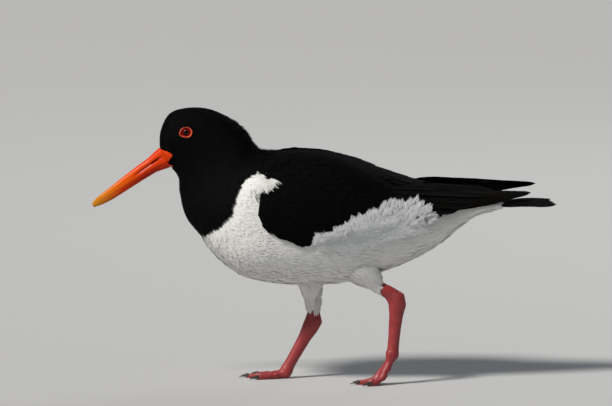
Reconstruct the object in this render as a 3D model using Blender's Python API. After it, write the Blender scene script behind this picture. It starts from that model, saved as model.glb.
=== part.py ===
"""Eurasian oystercatcher, life size, wading with its left leg behind, as a museum model shows it.

Metres, +Z up. The bird faces -X, its left side is -Y, and the floor under its feet is Z = 0.
Side-view points are (x, z) in millimetres; MM turns them into metres.
"""

import math

import bmesh
import bpy
from mathutils import Matrix, Vector

MM = 0.001
GAP = 0.3 * MM
WING_CLEARANCE = 0.6 * MM
MANTLE_CLEARANCE = 1.0 * MM
SIDES = {"left": -1, "right": 1}

# Body plan: belly-side and back-side points of each section in the side view, and its half width.
BODY_STATIONS = (
    ("face", (-135.6, 190.7), (-143.5, 206.2), 8.0),
    ("brow", (-132.1, 188.5), (-142.6, 222.1), 15.5),
    ("forehead", (-129.4, 185.4), (-134.7, 237.2), 19.0),
    ("crown", (-126.8, 180.5), (-118.9, 242.3), 20.8),
    ("crown_back", (-126.4, 174.3), (-100.4, 241.3), 22.0),
    ("nape", (-126.2, 166.4), (-82.8, 233.6), 23.5),
    ("hind_neck", (-124.8, 156.6), (-68.7, 222.0), 26.5),
    ("neck_base", (-119.8, 143.4), (-58.2, 206.8), 33.0),
    ("shoulder", (-107.4, 128.3), (-45.0, 204.4), 40.0),
    ("breast", (-92.5, 110.6), (-29.1, 204.6), 44.5),
    ("keel", (-71.4, 95.1), (-13.3, 204.9), 46.5),
    ("mid", (-41.4, 88.5), (6.1, 202.7), 46.0),
    ("belly", (-10.6, 87.2), (28.1, 194.7), 43.5),
    ("vent_front", (20.2, 89.4), (48.3, 184.1), 39.0),
    ("vent", (49.2, 97.4), (67.7, 175.2), 33.0),
    ("undertail_front", (75.6, 108.0), (85.3, 169.0), 26.5),
    ("undertail", (100.2, 121.2), (103.8, 165.0), 21.5),
    ("undertail_back", (119.6, 137.2), (121.4, 163.4), 18.0),
    ("tail_root", (134.6, 147.4), (135.4, 162.0), 16.5),
    ("tail_end", (154.8, 153.3), (153.9, 161.3), 15.0),
)
STATION = {station[0]: number for number, station in enumerate(BODY_STATIONS)}
FULLNESS = 2.25
RING_POINTS = 32
HEAD_END = STATION["nape"] + 0.6
NECK_END = STATION["shoulder"] + 0.0
TORSO_END = STATION["vent"] + 0.5
RUMP_END = STATION["tail_end"] + 0.0

# Bill: a straight axis from the face to the tip, with profiles at distances along it.
BILL_BASE = (-139.6, 198.7)
BILL_TIP = (-203.4, 156.2)
BILL_CULMEN = ((0, 10.4), (13, 8.2), (24, 7.8), (38, 6.9), (52, 5.6), (69, 4.4), (76, 2.4))
BILL_GONYS = ((0, 8.8), (13, 5.8), (26, 5.2), (42, 4.9), (58, 4.6), (68, 3.4), (76, 1.2))
BILL_HALF_WIDTH = ((0, 6.3), (8, 5.2), (20, 4.5), (35, 4.0), (50, 3.5), (65, 2.6), (76, 1.3))
BILL_RINGS = 11
MOUTH_LINE = -0.9
NOSTRIL_START, NOSTRIL_LENGTH, NOSTRIL_HEIGHT, NOSTRIL_DEPTH = 5.0, 10.0, 1.9, 1.5
NOSTRIL_ABOVE_MOUTH = 3.3

# Eyes: ball centre in the side view, its depth from the middle plane, and the lid ring round it.
EYE_CENTRE = (-119.4, 222.2)
EYE_DEPTH = 14.2
EYE_RADIUS = 5.2
EYE_AXIS = (-0.12, 1.0, 0.05)
LID_INNER, LID_OUTER, LID_EDGE = 4.3, 5.9, 0.5
LID_CREST, LID_FOOT = 5.5, 2.1
LID_WIDE, LID_TALL = 1.06, 0.86
LID_SEGMENTS = 16
SOCKET_PROFILE = ((1.4, -0.97), (3.0, -0.82), (4.6, -0.52),
                  (LID_OUTER, 0.0), (LID_OUTER, 0.38), (LID_OUTER, 2.2))

# Wings: lower edge of the folded wing in the side view, then the reach of its shield over the body.
WING_LOWER_EDGE = ((-60, 150), (-52, 138), (-38, 131), (-19, 126.5), (3, 125), (23, 124.5),
                   (50, 130), (76, 139), (98, 148))
WING_FRONT, WING_REAR = STATION["breast"] - 0.35, STATION["undertail_front"] + 0.55
WING_TOP_ANGLE = 0.2
WING_THICKNESS = 6.0
WING_EDGE_THICKNESS = 1.6
WING_GRID = (12, 8)
VANE_THICKNESS = 0.6
SUNK = 1.2
COVERT_RISE = 3.4
COVERT_TILT = 0.12
COVERT_OUTLINE = ((0.0, 0.62), (0.45, 1.0), (0.82, 0.84), (1.0, 0.26))
FLIGHT_OUTLINE = ((0.0, 0.6), (0.3, 0.9), (0.6, 1.0), (0.85, 0.84), (0.96, 0.5), (1.0, 0.16))

# Covert tiers: first station, feathers in the tier, length, half width; then the slope of their lie,
# how far their roots stray from a line, the part of the shield they cover, how much the upper ones lose.
COVERT_TIERS = {
    "marginal": (STATION["breast"] + 0.35, 5, 17, 8.5),
    "lesser": (STATION["keel"], 6, 21, 8.5),
    "median": (STATION["mid"] - 0.1, 6, 26, 9.0),
    "greater": (STATION["belly"] - 0.1, 6, 34, 9.0),
    "hindmost": (STATION["vent_front"] - 0.2, 5, 34, 8.5),
}
COVERT_DROP = 0.10
COVERT_RAGGED = 0.12
COVERT_ROWS_FROM, COVERT_ROWS_OVER = 0.05, 0.92
COVERT_SHORTENED = 0.15

# Mantle: the black back between the wings, as half angles at stations, and the feathers on it.
MANTLE_HALF_ANGLES = ((8.0, 0.8), (8.4, 0.72), (8.8, 0.42), (9.1, 0.22), (9.35, 0.165), (16.0, 0.16))
MANTLE_START, MANTLE_END = STATION["shoulder"] + 0.05, STATION["undertail_front"] + 0.7
MANTLE_THICKNESS = 3.4
MANTLE_EDGE_THICKNESS = 1.2
MANTLE_GRID = (14, 6)
MANTLE_ROWS = ((9.8, 2, 28, 6.0), (11.4, 3, 34, 5.8), (13.3, 3, 44, 5.8))
MANTLE_ROW_WIDTH = 0.55
MANTLE_FEATHER_STAGGER = 0.4

# Flight feathers of the left wing, tip points in (x, z) with the distance from the middle plane.
PRIMARY_COUNT = 6
PRIMARY_ROOT = (66, 146, 29)
PRIMARY_TIP = (182.4, 168.8, 11)
PRIMARY_TIP_STEP = (-10.5, 0.35, 1.35)
PRIMARY_ROOT_STEP = (-3.0, 2.6, 0.7)
PRIMARY_HALF_WIDTH = 7.2
PRIMARY_BOW = 2.0
PRIMARY_FACING, PRIMARY_FACING_STEP = 28, 3

# Tertials: root, tip, half width and the rise of the feather's face from upright, in degrees.
TERTIALS = (
    ((52, 173, 26), (150.4, 173.5, 12), 10.5, 54),
    ((48, 166, 31), (132.8, 167.0, 20.5), 10.0, 40),
    ((46, 158, 35), (114.0, 159.5, 27.0), 9.0, 30),
    ((42, 178, 15), (138.0, 177.3, 6.2), 6.0, 70),
)
TERTIAL_BOW = 3.0
RIGHT_TIP_RAISE, RIGHT_TIP_REACH = 6.0, 5.0
RIGHT_TIP_FROM, RIGHT_TIP_OVER = 60.0, 120.0

# Tail: six pairs of feathers fanned from a short root.
TAIL_PAIRS = 6
TAIL_TIP_X, TAIL_TIP_Z = 204.9, 158.6
TAIL_ROOT_X, TAIL_ROOT_Z = 158.5, 157.3
TAIL_TIP_OUT = (3.0, 24.0)
TAIL_ROOT_OUT = (1.5, 10.0)
TAIL_HALF_WIDTH = 6.2
TAIL_ROUNDING = 9.0
TAIL_LAYER, TAIL_ROOT_LAYER = 0.5, 0.125
TAIL_BOW = 0.8
TAIL_SLOPE = 5

# The fleshy root of the tail: share of the way to flat, distance back, height and width of its section.
TAIL_STUMP = ((0.0, 0.0, 1.0, 1.0), (0.5, 7.0, 0.62, 1.12), (1.0, 16.0, 0.26, 1.2))

# Legs: side-view point, distance from the middle plane, half depth fore and aft, half width.
THIGH = {
    "left": (((24, 113, 24), 19.5, 18), ((30, 106.5, 24.5), 16.5, 16.5), ((37, 100, 24), 12.8, 12.6),
             ((44.5, 93.5, 22.5), 9.4, 9), ((50, 88, 21.4), 6.9, 6.4), ((54.2, 84.4, 21), 5.6, 5.1)),
    "right": (((-13, 110, 20), 22, 17), ((-12, 97, 20.5), 16.5, 14.5), ((-11, 86, 20.4), 11.6, 10.5),
              ((-10.2, 76, 20.2), 8.0, 7.6), ((-9.5, 69, 20), 6.4, 5.9), ((-9.0, 63.5, 20), 5.3, 4.9)),
}
SHANK = {
    "left": (((54.2, 84.4, 21), 4.9, 4.3), ((58.6, 81, 21), 5.8, 4.9), ((64.2, 76.2, 21), 8.0, 5.9),
             ((65.2, 70.5, 21), 7.6, 5.6), ((64.2, 62, 21), 6.0, 4.5), ((63.0, 50, 21), 5.2, 3.9),
             ((62.0, 38, 21), 4.8, 3.7), ((61.4, 30.5, 21), 5.0, 4.2)),
    "right": (((-9.0, 63.5, 20), 4.6, 4.2), ((-8.4, 58, 20), 5.6, 4.9), ((-8.2, 51.5, 20), 7.6, 5.8),
              ((-11.2, 45.6, 20), 7.0, 5.4), ((-16.2, 36.5, 20), 5.4, 4.3), ((-22.6, 25, 20), 4.9, 3.9),
              ((-28.0, 15.4, 20), 4.7, 3.9), ((-30.6, 10.6, 20), 4.9, 4.2)),
}
LEG_Y = {side: stations[-1][0][2] for side, stations in SHANK.items()}
SHANK_POINTS = 14
FOOT_KNUCKLE = {"left": (60.6, 26.0), "right": (-33.4, 5.0)}
KNUCKLE_BULGE = 1.14
KNUCKLE_AHEAD = {"left": (58.8, 22.0), "right": (-37.4, 3.4)}
TOES = (("inner", -24, 0.80), ("middle", 3, 1.0), ("outer", 30, 0.86))
TOE_LENGTH = 34.0
TOE_RADIUS = 3.3
TOE_TIP_RADIUS = 2.3
TOE_SQUASH = 0.8
TOE_STEPS = 8
TOE_JOINTS = 3
CLAW_LENGTH = 6.5
CLAW_RADIUS = 1.6
CLAW_POINTS = 6
TOE_POINTS = 8
TOE_DROP = {
    "left": ((0, 1.0), (0.14, 0.66), (0.34, 0.30), (0.60, 0.03), (0.7, 0.0), (1.0, 0.0)),
    "right": ((0, 1.0), (0.3, 0.25), (0.5, 0.0), (1.0, 0.0)),
}


def clear_scene():
    for thing in list(bpy.data.objects):
        bpy.data.objects.remove(thing, do_unlink=True)


def make_material(name, colour, roughness):
    material = bpy.data.materials.new(name)
    material.use_nodes = True
    shader = material.node_tree.nodes["Principled BSDF"]
    shader.inputs["Base Color"].default_value = (*colour, 1.0)
    shader.inputs["Roughness"].default_value = roughness
    material.diffuse_color = (*colour, 1.0)
    return material


def make_materials():
    return {
        "black_feather": make_material("black_feather", (0.012, 0.012, 0.014), 0.55),
        "white_feather": make_material("white_feather", (0.80, 0.79, 0.76), 0.75),
        "flight_feather": make_material("flight_feather", (0.020, 0.018, 0.017), 0.45),
        "bill_horn": make_material("bill_horn", (0.82, 0.12, 0.01), 0.35),
        "eye": make_material("eye", (0.35, 0.01, 0.01), 0.08),
        "eyelid": make_material("eyelid", (0.85, 0.12, 0.02), 0.45),
        "leg_skin": make_material("leg_skin", (0.62, 0.07, 0.06), 0.45),
        "claw": make_material("claw", (0.03, 0.025, 0.02), 0.35),
    }


def interpolate(table, place):
    """Straight interpolation in a table of (place, value) pairs."""
    for (start, low), (end, high) in zip(table, table[1:]):
        if place <= end:
            return low + (high - low) * max(0.0, (place - start) / (end - start))
    return table[-1][1]


def smooth(values, place):
    """A smooth curve through equally spaced values, read at a place counted in values."""
    last = len(values) - 1
    number = min(int(place), last - 1)
    t = place - number
    before, start, end, after = (values[max(0, min(last, number + k))] for k in (-1, 0, 1, 2))
    slope_start = (end - before) / 2 if number > 0 else end - start
    slope_end = (after - start) / 2 if number < last - 1 else end - start
    return (
        start * (2 * t**3 - 3 * t**2 + 1)
        + slope_start * (t**3 - 2 * t**2 + t)
        + end * (3 * t**2 - 2 * t**3)
        + slope_end * (t**3 - t**2)
    )


def ease(value):
    value = min(1.0, max(0.0, value))
    return value * value * (3 - 2 * value)


def side_point(x, z, y=0.0):
    return Vector((x, y, z)) * MM


BELLY_LINE = [side_point(*station[1]) for station in BODY_STATIONS]
BACK_LINE = [side_point(*station[2]) for station in BODY_STATIONS]
HALF_WIDTHS = [station[3] * MM for station in BODY_STATIONS]


def section_ends(s):
    return smooth(BELLY_LINE, s), smooth(BACK_LINE, s)


def section_normal(s):
    """Direction across the section at station s, towards the tail."""
    belly, back = section_ends(s)
    upright = (back - belly).normalized()
    return Vector((upright.z, 0.0, -upright.x))


def body_point(s, angle, side, lift=0.0):
    """A point of the body's surface: angle 0 is the back, pi the belly; side is -1 or 1."""
    belly, back = section_ends(s)
    centre = (belly + back) / 2
    up = math.copysign(abs(math.cos(angle)) ** (2 / FULLNESS), math.cos(angle))
    out = abs(math.sin(angle)) ** (2 / FULLNESS)
    point = centre + (back - centre) * up
    point.y = side * smooth(HALF_WIDTHS, s) * out
    return point + body_normal(s, angle, side) * lift if lift else point


def body_normal(s, angle, side):
    step = 0.02
    s = min(max(s, step), len(BODY_STATIONS) - 1 - step)
    angle = min(max(angle, step), math.pi - step)
    along = body_point(s + step, angle, side) - body_point(s - step, angle, side)
    around = body_point(s, angle + step, side) - body_point(s, angle - step, side)
    return (along.cross(around) * side).normalized()


def body_around(s, angle, side):
    """Direction round the section at a surface point, from the back towards the belly."""
    step = 0.02
    return (body_point(s, angle + step, side) - body_point(s, max(angle - step, 0.0), side)).normalized()


def body_ring(s, push=0.0, lift=0.0):
    ring = []
    for number in range(RING_POINTS):
        turn = 2 * math.pi * number / RING_POINTS
        angle, side = (turn, 1) if turn <= math.pi else (2 * math.pi - turn, -1)
        ring.append(body_point(s, angle, side, lift) + section_normal(s) * push)
    return ring


def section_angle(s, share):
    """Angle on the section at station s for a share of the way from belly to back."""
    up = 2 * share - 1
    return math.acos(math.copysign(min(1.0, abs(up)) ** (FULLNESS / 2), up))


def lower_edge_angle(s):
    """Angle at which the section at station s meets the folded wing's lower edge."""
    belly, back = section_ends(s)
    low, high = 0.0, 1.0
    for _ in range(24):
        share = (low + high) / 2
        point = belly.lerp(back, share) / MM
        if point.z < interpolate(WING_LOWER_EDGE, point.x):
            low = share
        else:
            high = share
    return section_angle(s, low)


def add_object(name, points, faces, material):
    mesh = bpy.data.meshes.new(name)
    mesh.from_pydata([tuple(point) for point in points], [], faces)
    mesh.materials.append(material)
    made = bpy.data.objects.new(name, mesh)
    bpy.context.scene.collection.objects.link(made)
    build = bmesh.new()
    build.from_mesh(mesh)
    bmesh.ops.recalc_face_normals(build, faces=build.faces)
    build.to_mesh(mesh)
    build.free()
    mesh.shade_smooth()
    mesh.set_sharp_from_angle(angle=math.radians(50))
    return made


def loft(name, rings, material):
    """A closed body through rings of equal point count, with a flat face on each end."""
    count = len(rings[0])
    points = [point for ring in rings for point in ring]
    faces = [tuple(range(count)), tuple(range(len(points) - 1, len(points) - count - 1, -1))]
    for level in range(len(rings) - 1):
        for here in range(count):
            there = (here + 1) % count
            low, high = level * count, (level + 1) * count
            faces.append((low + here, high + here, high + there, low + there))
    return add_object(name, points, faces, material)


def body_length(name, start, end, steps, material, lift=0.0):
    """A length of the body between two stations, its end faces half a gap inside them."""
    rings = [body_ring(start, GAP / 2, lift)]
    rings += [body_ring(start + (end - start) * step / steps, 0.0, lift) for step in range(1, steps)]
    rings.append(body_ring(end, -GAP / 2, lift))
    return loft(name, rings, material)


def keep_largest(thing):
    """Keeps the largest closed surface of a mesh."""
    build = bmesh.new()
    build.from_mesh(thing.data)
    unseen = set(build.faces)
    bodies = []
    while unseen:
        queue = [unseen.pop()]
        body = set(queue)
        while queue:
            for edge in queue.pop().edges:
                for face in edge.link_faces:
                    if face in unseen:
                        unseen.remove(face)
                        body.add(face)
                        queue.append(face)
        bodies.append(body)
    largest = max(bodies, key=lambda body: sum(face.calc_area() for face in body))
    extra = [face for body in bodies if body is not largest for face in body]
    bmesh.ops.delete(build, geom=extra, context="FACES")
    loose = [vertex for vertex in build.verts if not vertex.link_faces]
    bmesh.ops.delete(build, geom=loose, context="VERTS")
    build.to_mesh(thing.data)
    build.free()


def combine(base, others, operation, solver="EXACT"):
    """Joins the other objects to the base, or cuts them from it, in one step, and removes them."""
    group = bpy.data.collections.new("operands")
    bpy.context.scene.collection.children.link(group)
    for other in others:
        group.objects.link(other)
    modifier = base.modifiers.new("combine", "BOOLEAN")
    modifier.operation = operation
    modifier.operand_type = "COLLECTION"
    modifier.collection = group
    modifier.solver = solver
    graph = bpy.context.evaluated_depsgraph_get()
    made = bpy.data.meshes.new_from_object(base.evaluated_get(graph))
    base.modifiers.clear()
    base.data = made
    for other in list(group.objects):
        bpy.data.objects.remove(other, do_unlink=True)
    bpy.data.collections.remove(group)
    keep_largest(base)
    base.data.shade_smooth()
    base.data.set_sharp_from_angle(angle=math.radians(40))
    return base


def clear_of_body(point, side, lift):
    """Moves a point sideways until it lies at least the lift outside the body; side 0 leaves it."""
    if side == 0:
        return point
    low, high = 0.0, float(len(BODY_STATIONS) - 1)
    for _ in range(20):
        s = (low + high) / 2
        if (point - section_ends(s)[0]).dot(section_normal(s)) > 0:
            low = s
        else:
            high = s
    belly, back = section_ends(low)
    up = (back - belly).normalized()
    height = abs((point - (belly + back) / 2).dot(up)) / ((back - belly).length / 2 + lift)
    if height >= 1 or low > len(BODY_STATIONS) - 1.01:
        return point
    out = (smooth(HALF_WIDTHS, low) + lift) * (1 - height**FULLNESS) ** (1 / FULLNESS)
    return Vector((point.x, side * max(out, side * point.y), point.z))


def vane(name, side, centres, normals, half_widths, material):
    """One feather: a thin closed blade along its shaft, split into triangles alike on both faces."""
    points = []
    last = len(centres) - 1
    for number, (centre, normal, half_width) in enumerate(zip(centres, normals, half_widths)):
        along = (centres[min(last, number + 1)] - centres[max(0, number - 1)]).normalized()
        across = normal.cross(along).normalized()
        thick = along.cross(across).normalized() * VANE_THICKNESS * MM
        if thick.dot(normal) < 0:
            thick = -thick
        edges = [clear_of_body(centre + across * way, side, (1 + VANE_THICKNESS) * MM)
                 for way in (-half_width, half_width)]
        points += [edge + thick * 0.5 for edge in edges] + [edge - thick * 0.5 for edge in reversed(edges)]
    faces = [(3, 1, 0), (3, 2, 1)]
    end = last * 4
    faces += [(end, end + 1, end + 3), (end + 1, end + 2, end + 3)]
    for level in range(last):
        low, high = level * 4, level * 4 + 4
        for left, right, flip in ((0, 1, False), (1, 2, False), (2, 3, True), (3, 0, False)):
            a, b, c, d = low + left, low + right, high + right, high + left
            faces += [(a, b, d), (b, c, d)] if flip else [(a, b, c), (a, c, d)]
    return add_object(name, points, faces, material)


def bill_axis():
    base, tip = side_point(*BILL_BASE), side_point(*BILL_TIP)
    along = (tip - base).normalized()
    return base, along, Vector((along.z, 0.0, -along.x))


def bill_ring(distance, profile, rise):
    """Half of the bill's section: flat at the mouth line, rounded above (rise 1) or below (-1)."""
    base, along, up = bill_axis()
    width = interpolate(BILL_HALF_WIDTH, distance)
    height = interpolate(profile, distance)
    mouth = MOUTH_LINE * MM + rise * GAP / 2
    arc = 8
    ring = []
    for number in range(arc + 1):
        turn = math.pi * number / arc
        out = math.copysign(abs(math.cos(turn)) ** 0.85, math.cos(turn)) * width
        ring.append((out, mouth + rise * height * math.sin(turn) ** 0.9 * MM))
    ring.append((0.0, mouth))
    centre = base + along * distance * MM
    points = [centre + up * lift + Vector((0, out * MM, 0)) for out, lift in ring]
    if distance == 0:
        normal = section_normal(0)
        face = section_ends(0)[0] - normal * GAP
        points = [point + along * (face - point).dot(normal) / along.dot(normal) for point in points]
    return points


def bill_part(name, profile, rise, material):
    length = profile[-1][0]
    shares = [(number / BILL_RINGS) ** 0.85 for number in range(BILL_RINGS + 1)]
    return loft(name, [bill_ring(length * share, profile, rise) for share in shares], material)


def nostril_cutter(side):
    base, along, up = bill_axis()
    middle = NOSTRIL_START + NOSTRIL_LENGTH / 2
    width = interpolate(BILL_HALF_WIDTH, middle)
    bpy.ops.mesh.primitive_uv_sphere_add(segments=12, ring_count=8, radius=1.0)
    cutter = bpy.context.active_object
    centre = base + along * middle * MM + up * (MOUTH_LINE + NOSTRIL_ABOVE_MOUTH) * MM
    centre += Vector((0, side * (width - 0.25) * MM, 0))
    scale = Matrix.Diagonal((NOSTRIL_LENGTH / 2 * MM, NOSTRIL_DEPTH * MM, NOSTRIL_HEIGHT / 2 * MM, 1))
    turn = Matrix((along, Vector((0, 1, 0)), up)).transposed().to_4x4()
    cutter.data.transform(Matrix.Translation(centre) @ turn @ scale)
    return cutter


def make_bill(materials):
    upper = bill_part("bill_upper", BILL_CULMEN, 1, materials["bill_horn"])
    combine(upper, [nostril_cutter(side) for side in SIDES.values()], "DIFFERENCE")
    bill_part("bill_lower", BILL_GONYS, -1, materials["bill_horn"])


def eye_frame(side):
    x, z = EYE_CENTRE
    axis = Vector((EYE_AXIS[0], side * EYE_AXIS[1], EYE_AXIS[2])).normalized()
    centre = side_point(x, z, side * EYE_DEPTH)
    return Matrix.Translation(centre) @ axis.to_track_quat("Z", "Y").to_matrix().to_4x4()


def lid_ring(name, frame, material):
    """An oval ring of bare skin that lies one gap off the eyeball all round."""
    clear = EYE_RADIUS + GAP / MM
    points = []
    for number in range(LID_SEGMENTS):
        turn = 2 * math.pi * number / LID_SEGMENTS
        way = Vector((math.cos(turn) * LID_WIDE, math.sin(turn) * LID_TALL, 0))
        seat_in, seat_out = (math.sqrt(max(0.0, clear**2 - (reach * way.length) ** 2))
                             for reach in (LID_INNER, LID_OUTER - LID_EDGE))
        reaches = (LID_INNER, LID_INNER, LID_INNER + LID_EDGE, LID_OUTER - LID_EDGE, LID_OUTER, LID_OUTER,
                   LID_OUTER - LID_EDGE)
        heights = (seat_in, LID_CREST - 0.7, LID_CREST, LID_CREST - 0.4, LID_CREST - 1.4, LID_FOOT,
                   max(seat_out, LID_FOOT))
        for reach, height in zip(reaches, heights):
            points.append(frame @ ((way * reach + Vector((0, 0, height))) * MM))
    count = len(reaches)
    faces = []
    for here in range(LID_SEGMENTS):
        there = (here + 1) % LID_SEGMENTS
        for k in range(count):
            after = (k + 1) % count
            faces.append((here * count + k, there * count + k, there * count + after, here * count + after))
    return add_object(name, points, faces, material)


def make_eye(side_name, side, materials):
    frame = eye_frame(side)
    bpy.ops.mesh.primitive_uv_sphere_add(segments=16, ring_count=9, radius=EYE_RADIUS * MM)
    ball = bpy.context.active_object
    ball.name = "eye_" + side_name
    ball.data.transform(frame)
    ball.data.materials.append(materials["eye"])
    ball.data.shade_smooth()
    lid_ring("eyelids_" + side_name, frame, materials["eyelid"])


def eye_socket_cutter(side, material):
    """A round-bottomed socket that clears the ball and the lid ring by one gap."""
    deep = EYE_RADIUS + GAP / MM
    rings = []
    for reach, height in SOCKET_PROFILE:
        ring = []
        for number in range(LID_SEGMENTS):
            turn = 2 * math.pi * number / LID_SEGMENTS
            oval = Vector((math.cos(turn) * LID_WIDE, math.sin(turn) * LID_TALL, 0)) * reach
            least = math.sqrt(max(0.0, 1 - height**2)) * deep
            way = oval.normalized() * max(oval.length + GAP / MM, least)
            ring.append(eye_frame(side) @ ((way + Vector((0, 0, height * deep))) * MM))
        rings.append(ring)
    return loft("socket", rings, material)


def make_head(materials):
    head = body_length("head", 0.0, HEAD_END, 12, materials["black_feather"])
    cutters = [eye_socket_cutter(side, materials["black_feather"]) for side in SIDES.values()]
    combine(head, cutters, "DIFFERENCE")


def make_trunk(materials):
    body_length("neck", HEAD_END, NECK_END, 5, materials["black_feather"])
    body_length("torso", NECK_END, TORSO_END, 12, materials["white_feather"])
    body_length("rump", TORSO_END, RUMP_END, 8, materials["white_feather"])


def shield_share(s, angle):
    """Where a surface point lies on the wing's shield: share from front to rear, from edge to top."""
    along = (s - WING_FRONT) / (WING_REAR - WING_FRONT)
    low = lower_edge_angle(s)
    return along, (low - angle) / (low - WING_TOP_ANGLE)


def shield_thickness(s, angle):
    along, up = shield_share(s, angle)
    swell = ease(along / 0.16) * ease((1 - along) / 0.5) * ease(up / 0.2) * ease((1 - up) / 0.35)
    return WING_EDGE_THICKNESS + (WING_THICKNESS - WING_EDGE_THICKNESS) * swell


def shield_corner(row):
    """The shield's front is rounded: its first station moves back near the lower and upper corners."""
    share = abs(2 * row / WING_GRID[1] - 1)
    return WING_FRONT + 0.9 * share**3


def shell(name, inner, outer, columns, rows, material):
    """A closed shell from two grids of points, split into triangles alike on both faces."""
    shift, line = len(inner), rows + 1
    faces = []
    for column in range(columns):
        for row in range(rows):
            a = column * line + row
            b, c, d = a + 1, a + line + 1, a + line
            for face in ((a, b, c), (a, c, d)):
                faces += [face, tuple(shift + corner for corner in reversed(face))]
    border = [column * line for column in range(columns + 1)]
    border += [columns * line + row for row in range(1, line)]
    border += [column * line + rows for column in range(columns - 1, -1, -1)]
    border += list(range(rows - 1, 0, -1))
    for here, there in zip(border, border[1:] + border[:1]):
        faces.append((here, there, shift + there, shift + here))
    return add_object(name, inner + outer, faces, material)


def wing_shield(name, side, material):
    """The folded arm: a shell over the body's side that keeps clear of it."""
    columns, rows = WING_GRID
    inner, outer = [], []
    for column in range(columns + 1):
        for row in range(rows + 1):
            front = shield_corner(row)
            s = front + (WING_REAR - front) * column / columns
            low = lower_edge_angle(s)
            angle = low + (WING_TOP_ANGLE - low) * row / rows
            inner.append(body_point(s, angle, side, WING_CLEARANCE))
            outer.append(body_point(s, angle, side, WING_CLEARANCE + shield_thickness(s, angle) * MM))
    return shell(name, inner, outer, columns, rows, material)


def mantle_feather(s, turn, number, length, half_width, material):
    """A long back feather between the wings, its root sunk in the mantle; turn is its signed angle."""
    centres, normals, widths = [], [], []
    side = 1 if turn >= 0 else -1
    scale = (body_point(s + 0.1, 0.0, 1) - body_point(s, 0.0, 1)).length / 0.1
    for share, width in COVERT_OUTLINE:
        place = min(s + length * MM / scale * share, len(BODY_STATIONS) - 1.05)
        lift = MANTLE_THICKNESS - SUNK + (COVERT_RISE + MANTLE_FEATHER_STAGGER * (number % 2)) * share
        centres.append(body_point(place, abs(turn), side, MANTLE_CLEARANCE + lift * MM))
        normals.append(body_normal(place, max(abs(turn), 0.05), side))
        widths.append(half_width * width * MM)
    return vane("mantle_feather", 0, centres, normals, widths, material)


def make_mantle(materials):
    columns, rows = MANTLE_GRID
    inner, outer = [], []
    for column in range(columns + 1):
        s = MANTLE_START + (MANTLE_END - MANTLE_START) * column / columns
        half = interpolate(MANTLE_HALF_ANGLES, s)
        for row in range(rows + 1):
            turn = half * (2 * row / rows - 1)
            side = 1 if turn >= 0 else -1
            edge = ease((1 - abs(turn) / half) / 0.5) * ease(column / 2) * ease((columns - column) / 3)
            thick = MANTLE_EDGE_THICKNESS + (MANTLE_THICKNESS - MANTLE_EDGE_THICKNESS) * edge
            inner.append(body_point(s, abs(turn), side, MANTLE_CLEARANCE))
            outer.append(body_point(s, abs(turn), side, MANTLE_CLEARANCE + thick * MM))
    mantle = shell("mantle", inner, outer, columns, rows, materials["black_feather"])
    feathers = []
    for s, count, length, half_width in MANTLE_ROWS:
        half = interpolate(MANTLE_HALF_ANGLES, s) * MANTLE_ROW_WIDTH
        for number in range(count):
            turn = half * (2 * number / (count - 1) - 1)
            feathers.append(mantle_feather(s, turn, number, length, half_width, materials["black_feather"]))
    combine(mantle, feathers, "UNION", "MANIFOLD")


def covert(side, s, angle, length, half_width, material):
    """A covert on the shield: its root is sunk and it rises evenly to its tip, tilted like a shingle."""
    scale = (body_point(s + 0.1, angle, side) - body_point(s, angle, side)).length / 0.1
    reach = length * MM / scale
    centres, normals, widths = [], [], []
    for share, width in COVERT_OUTLINE:
        place = s + reach * share
        lie = angle + COVERT_DROP * share * share
        lift = shield_thickness(min(place, WING_REAR), lie) - SUNK + COVERT_RISE * share
        centres.append(body_point(place, lie, side, WING_CLEARANCE + lift * MM))
        outward = body_normal(place, lie, side)
        normals.append(outward - body_around(place, lie, side) * COVERT_TILT)
        widths.append(half_width * width * MM)
    return vane("covert", side, centres, normals, widths, material)


def covert_tiers(side, material):
    made = []
    for tier, (first, count, length, half_width) in enumerate(COVERT_TIERS.values()):
        for number in range(count):
            share = (number + 0.5 + 0.25 * (tier % 2)) / (count + 0.25)
            s = first + COVERT_RAGGED * math.sin(3.1 * number + tier)
            low = lower_edge_angle(s)
            angle = low + (WING_TOP_ANGLE - low) * (COVERT_ROWS_FROM + COVERT_ROWS_OVER * share)
            long = length * (1 - COVERT_SHORTENED * share)
            made.append(covert(side, s, angle, long, half_width, material))
    return made


def flight_feather(side, root, tip, half_width, facing, bow, material):
    """A long feather from root to tip, (x, z, distance from the middle plane), bowed upwards."""
    centres, normals = [], []
    for share, _ in FLIGHT_OUTLINE:
        x, z, out = (a + (b - a) * share for a, b in zip(root, tip))
        z += bow * math.sin(math.pi * share)
        centres.append(side_point(x, z, side * out))
        normals.append(Vector((0.0, side * math.cos(facing), math.sin(facing))))
    widths = [half_width * width * MM for _, width in FLIGHT_OUTLINE]
    return vane("flight_feather", side, centres, normals, widths, material)


def raised_tip(point, side):
    """The right wing's tip lies a little higher and farther back than the left one's."""
    x, z, out = point
    if side < 0:
        return point
    share = ease((x - RIGHT_TIP_FROM) / RIGHT_TIP_OVER)
    return (x + RIGHT_TIP_REACH * share, z + RIGHT_TIP_RAISE * share, out)


def primaries(side, material):
    made = []
    for number in range(PRIMARY_COUNT):
        tip = tuple(value + step * number for value, step in zip(PRIMARY_TIP, PRIMARY_TIP_STEP))
        root = tuple(value + step * number for value, step in zip(PRIMARY_ROOT, PRIMARY_ROOT_STEP))
        facing = math.radians(PRIMARY_FACING + PRIMARY_FACING_STEP * number)
        tip = raised_tip(tip, side)
        made.append(flight_feather(side, root, tip, PRIMARY_HALF_WIDTH, facing, PRIMARY_BOW, material))
    return made


def tertials(side, material):
    made = []
    for root, tip, half_width, rise in TERTIALS:
        tip = raised_tip(tip, side)
        facing = math.radians(rise)
        made.append(flight_feather(side, root, tip, half_width, facing, TERTIAL_BOW, material))
    return made


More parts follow.
